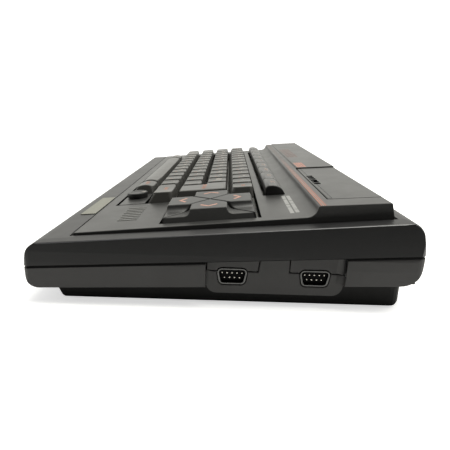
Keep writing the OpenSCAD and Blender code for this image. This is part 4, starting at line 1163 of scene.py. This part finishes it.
class COMPUTER_OT_ports(Build, bpy.types.Operator):
    """Metal shells, inserts and round-ended pins of the two nine-pin ports"""

    bl_idname = "computer.ports"
    bl_label = "Ports"

    def execute(self, context):
        tin = bare_metal("port_tin", (0.13, 0.13, 0.13), 0.3)
        dull = moulded("port_flange", (0.13, 0.13, 0.127), 0.5)
        # A darker copy of the tin for the shells' side faces: painted shade inside the ports
        inside = bare_metal("port_tin_painted_shade", (0.03, 0.03, 0.03), 0.4)
        bm = round_edges(cad_copy("port_shells"), 0.2 * MM)
        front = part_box("port_shells")[1].x
        for f in bm.faces:
            x = f.calc_center_median().x
            f.material_index = (0 if x > front - 0.5 * MM else 1) if f.normal.x > 0.4 else 2
        finish_piece(bm, "port_rims", "console", "shell_tin", [tin, dull, inside], ["port_shells"])
        black = moulded("port_black", (0.0025, 0.0025, 0.003), 0.6, 2500, 0.08, 0.12, 0.1)
        bm = round_edges(cad_copy("port_inserts"), 0.1 * MM)
        finish_piece(bm, "port_blocks", "console", "black_plastic", [black], ["port_inserts"])
        bm = bmesh.new()
        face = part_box("port_pins")[1].x
        length, turn = 14.6 * MM, Matrix.Rotation(math.pi / 2, 4, "Y")
        # Each port has a row of five pins over a row of four
        rows = ((5, PORT_Z + PIN_ROWS / 2), (4, PORT_Z - PIN_ROWS / 2))
        for middle, (count, z) in [(y, row) for y in PORT_YS for row in rows]:
            for i in range(count):
                y = middle + (i - (count - 1) / 2) * PIN_PITCH
                place = Matrix.Translation((face - length / 2, y * MM, z * MM)) @ turn
                made = rod(bm, 0.5 * MM, length, 14, place)
                near = [e for v in made for e in v.link_edges]
                tip = [e for e in near if all(abs(v.co.x - face) < 1e-5 for v in e.verts)]
                bevel(bm, list(dict.fromkeys(tip)), 0.3 * MM, 3)
        pins = bare_metal("pin_plating", (0.8, 0.77, 0.7), 0.25)
        finish_piece(
            bm, "port_contacts", "console", "contact_gold", [pins], ["port_pins"], angle=50
        )
        return {"FINISHED"}


class COMPUTER_OT_inner_parts(Build, bpy.types.Operator):
    """Finishes for the CAD nodes that keep their shape"""

    bl_idname = "computer.inner_parts"
    bl_label = "Inner parts"

    def execute(self, context):
        steel = bare_metal("zinc_steel", (0.58, 0.58, 0.6), 0.3)
        black = moulded("socket_black", (0.012, 0.012, 0.013), 0.42, 2200, 0.08)
        brass = bare_metal("plated_brass", (0.74, 0.62, 0.36), 0.28)
        green = laminate("green_board", (0.015, 0.11, 0.04))
        finishes = {
            "rubber_feet": moulded("foot_rubber", (0.012, 0.012, 0.012), 0.75, 900, 0.3),
            "case_screws": steel, "keyboard_screws": steel, "board_screws": steel,
            "keyboard_frame": bare_metal("frame_sheet", (0.55, 0.55, 0.53), 0.4, 200),
            "dome_mat": moulded("mat_rubber", (0.42, 0.42, 0.4), 0.7, 700, 0.2),
            "keyboard_board": green, "main_board": green,
            "power_board": laminate("brown_board", (0.3, 0.2, 0.08)),
            "chips": moulded("chip_black", (0.015, 0.015, 0.016), 0.5, 3000, 0.2),
            "capacitors": moulded("can_sleeve", (0.02, 0.04, 0.2), 0.3, 400, 0.05),
            "cartridge_connector": black, "power_inlet": black,
            "switch_body": black, "round_sockets": black,
            "power_rocker": moulded("rocker_black", (0.01, 0.01, 0.01), 0.3, 2000, 0.05),
            "printer_connector": bare_metal("connector_tin", (0.4, 0.4, 0.4), 0.35),
            "flap_pin": steel, "flap_spring": bare_metal("spring_wire", (0.6, 0.6, 0.6), 0.25),
            "transformer": moulded("varnished_core", (0.05, 0.035, 0.025), 0.45, 300, 0.3, 0.25),
            "heat_sink": brushed("sink_aluminium", (0.6, 0.6, 0.62)),
            "phono_jacks": brass, "knob_pot": bare_metal("pot_can", (0.5, 0.5, 0.5), 0.35),
        }
        for name, made in finishes.items():
            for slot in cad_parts[name].material_slots:
                slot.material = made
        return {"FINISHED"}


class COMPUTER_PT_panel(bpy.types.Panel):
    """Buttons that build each piece"""

    bl_label = "Vintage home computer"
    bl_idname = "COMPUTER_PT_panel"
    bl_space_type = "VIEW_3D"
    bl_region_type = "UI"
    bl_category = "Computer"

    def draw(self, context):
        for scene_name, _ in GROUPS:
            group = getattr(context.scene, scene_name)
            box = self.layout.box()
            for name in group.bl_rna.properties.keys():
                if name not in ("rna_type", "name"):
                    box.prop(group, name)
        for operator in OPERATORS:
            self.layout.operator(operator.bl_idname)


OPERATORS = (
    COMPUTER_OT_stage,
    COMPUTER_OT_case,
    COMPUTER_OT_markings,
    COMPUTER_OT_keys,
    COMPUTER_OT_cursor_keys,
    COMPUTER_OT_function_keys,
    COMPUTER_OT_knob,
    COMPUTER_OT_ports,
    COMPUTER_OT_inner_parts,
)
GROUPS = (
    ("computer_case", CaseSettings),
    ("computer_keys", KeySettings),
    ("computer_stage", StageSettings),
)


def register():
    for name, group in GROUPS:
        bpy.utils.register_class(group)
        setattr(bpy.types.Scene, name, PointerProperty(type=group))
    for cls in OPERATORS + (COMPUTER_PT_panel,):
        bpy.utils.register_class(cls)


def unregister():
    for cls in reversed(OPERATORS + (COMPUTER_PT_panel,)):
        bpy.utils.unregister_class(cls)
    for name, group in reversed(GROUPS):
        delattr(bpy.types.Scene, name)
        bpy.utils.unregister_class(group)


def main():
    register()
    for operator in OPERATORS:
        group, name = operator.bl_idname.split(".")
        getattr(getattr(bpy.ops, group), name)()


if __name__ == "__main__":
    main()
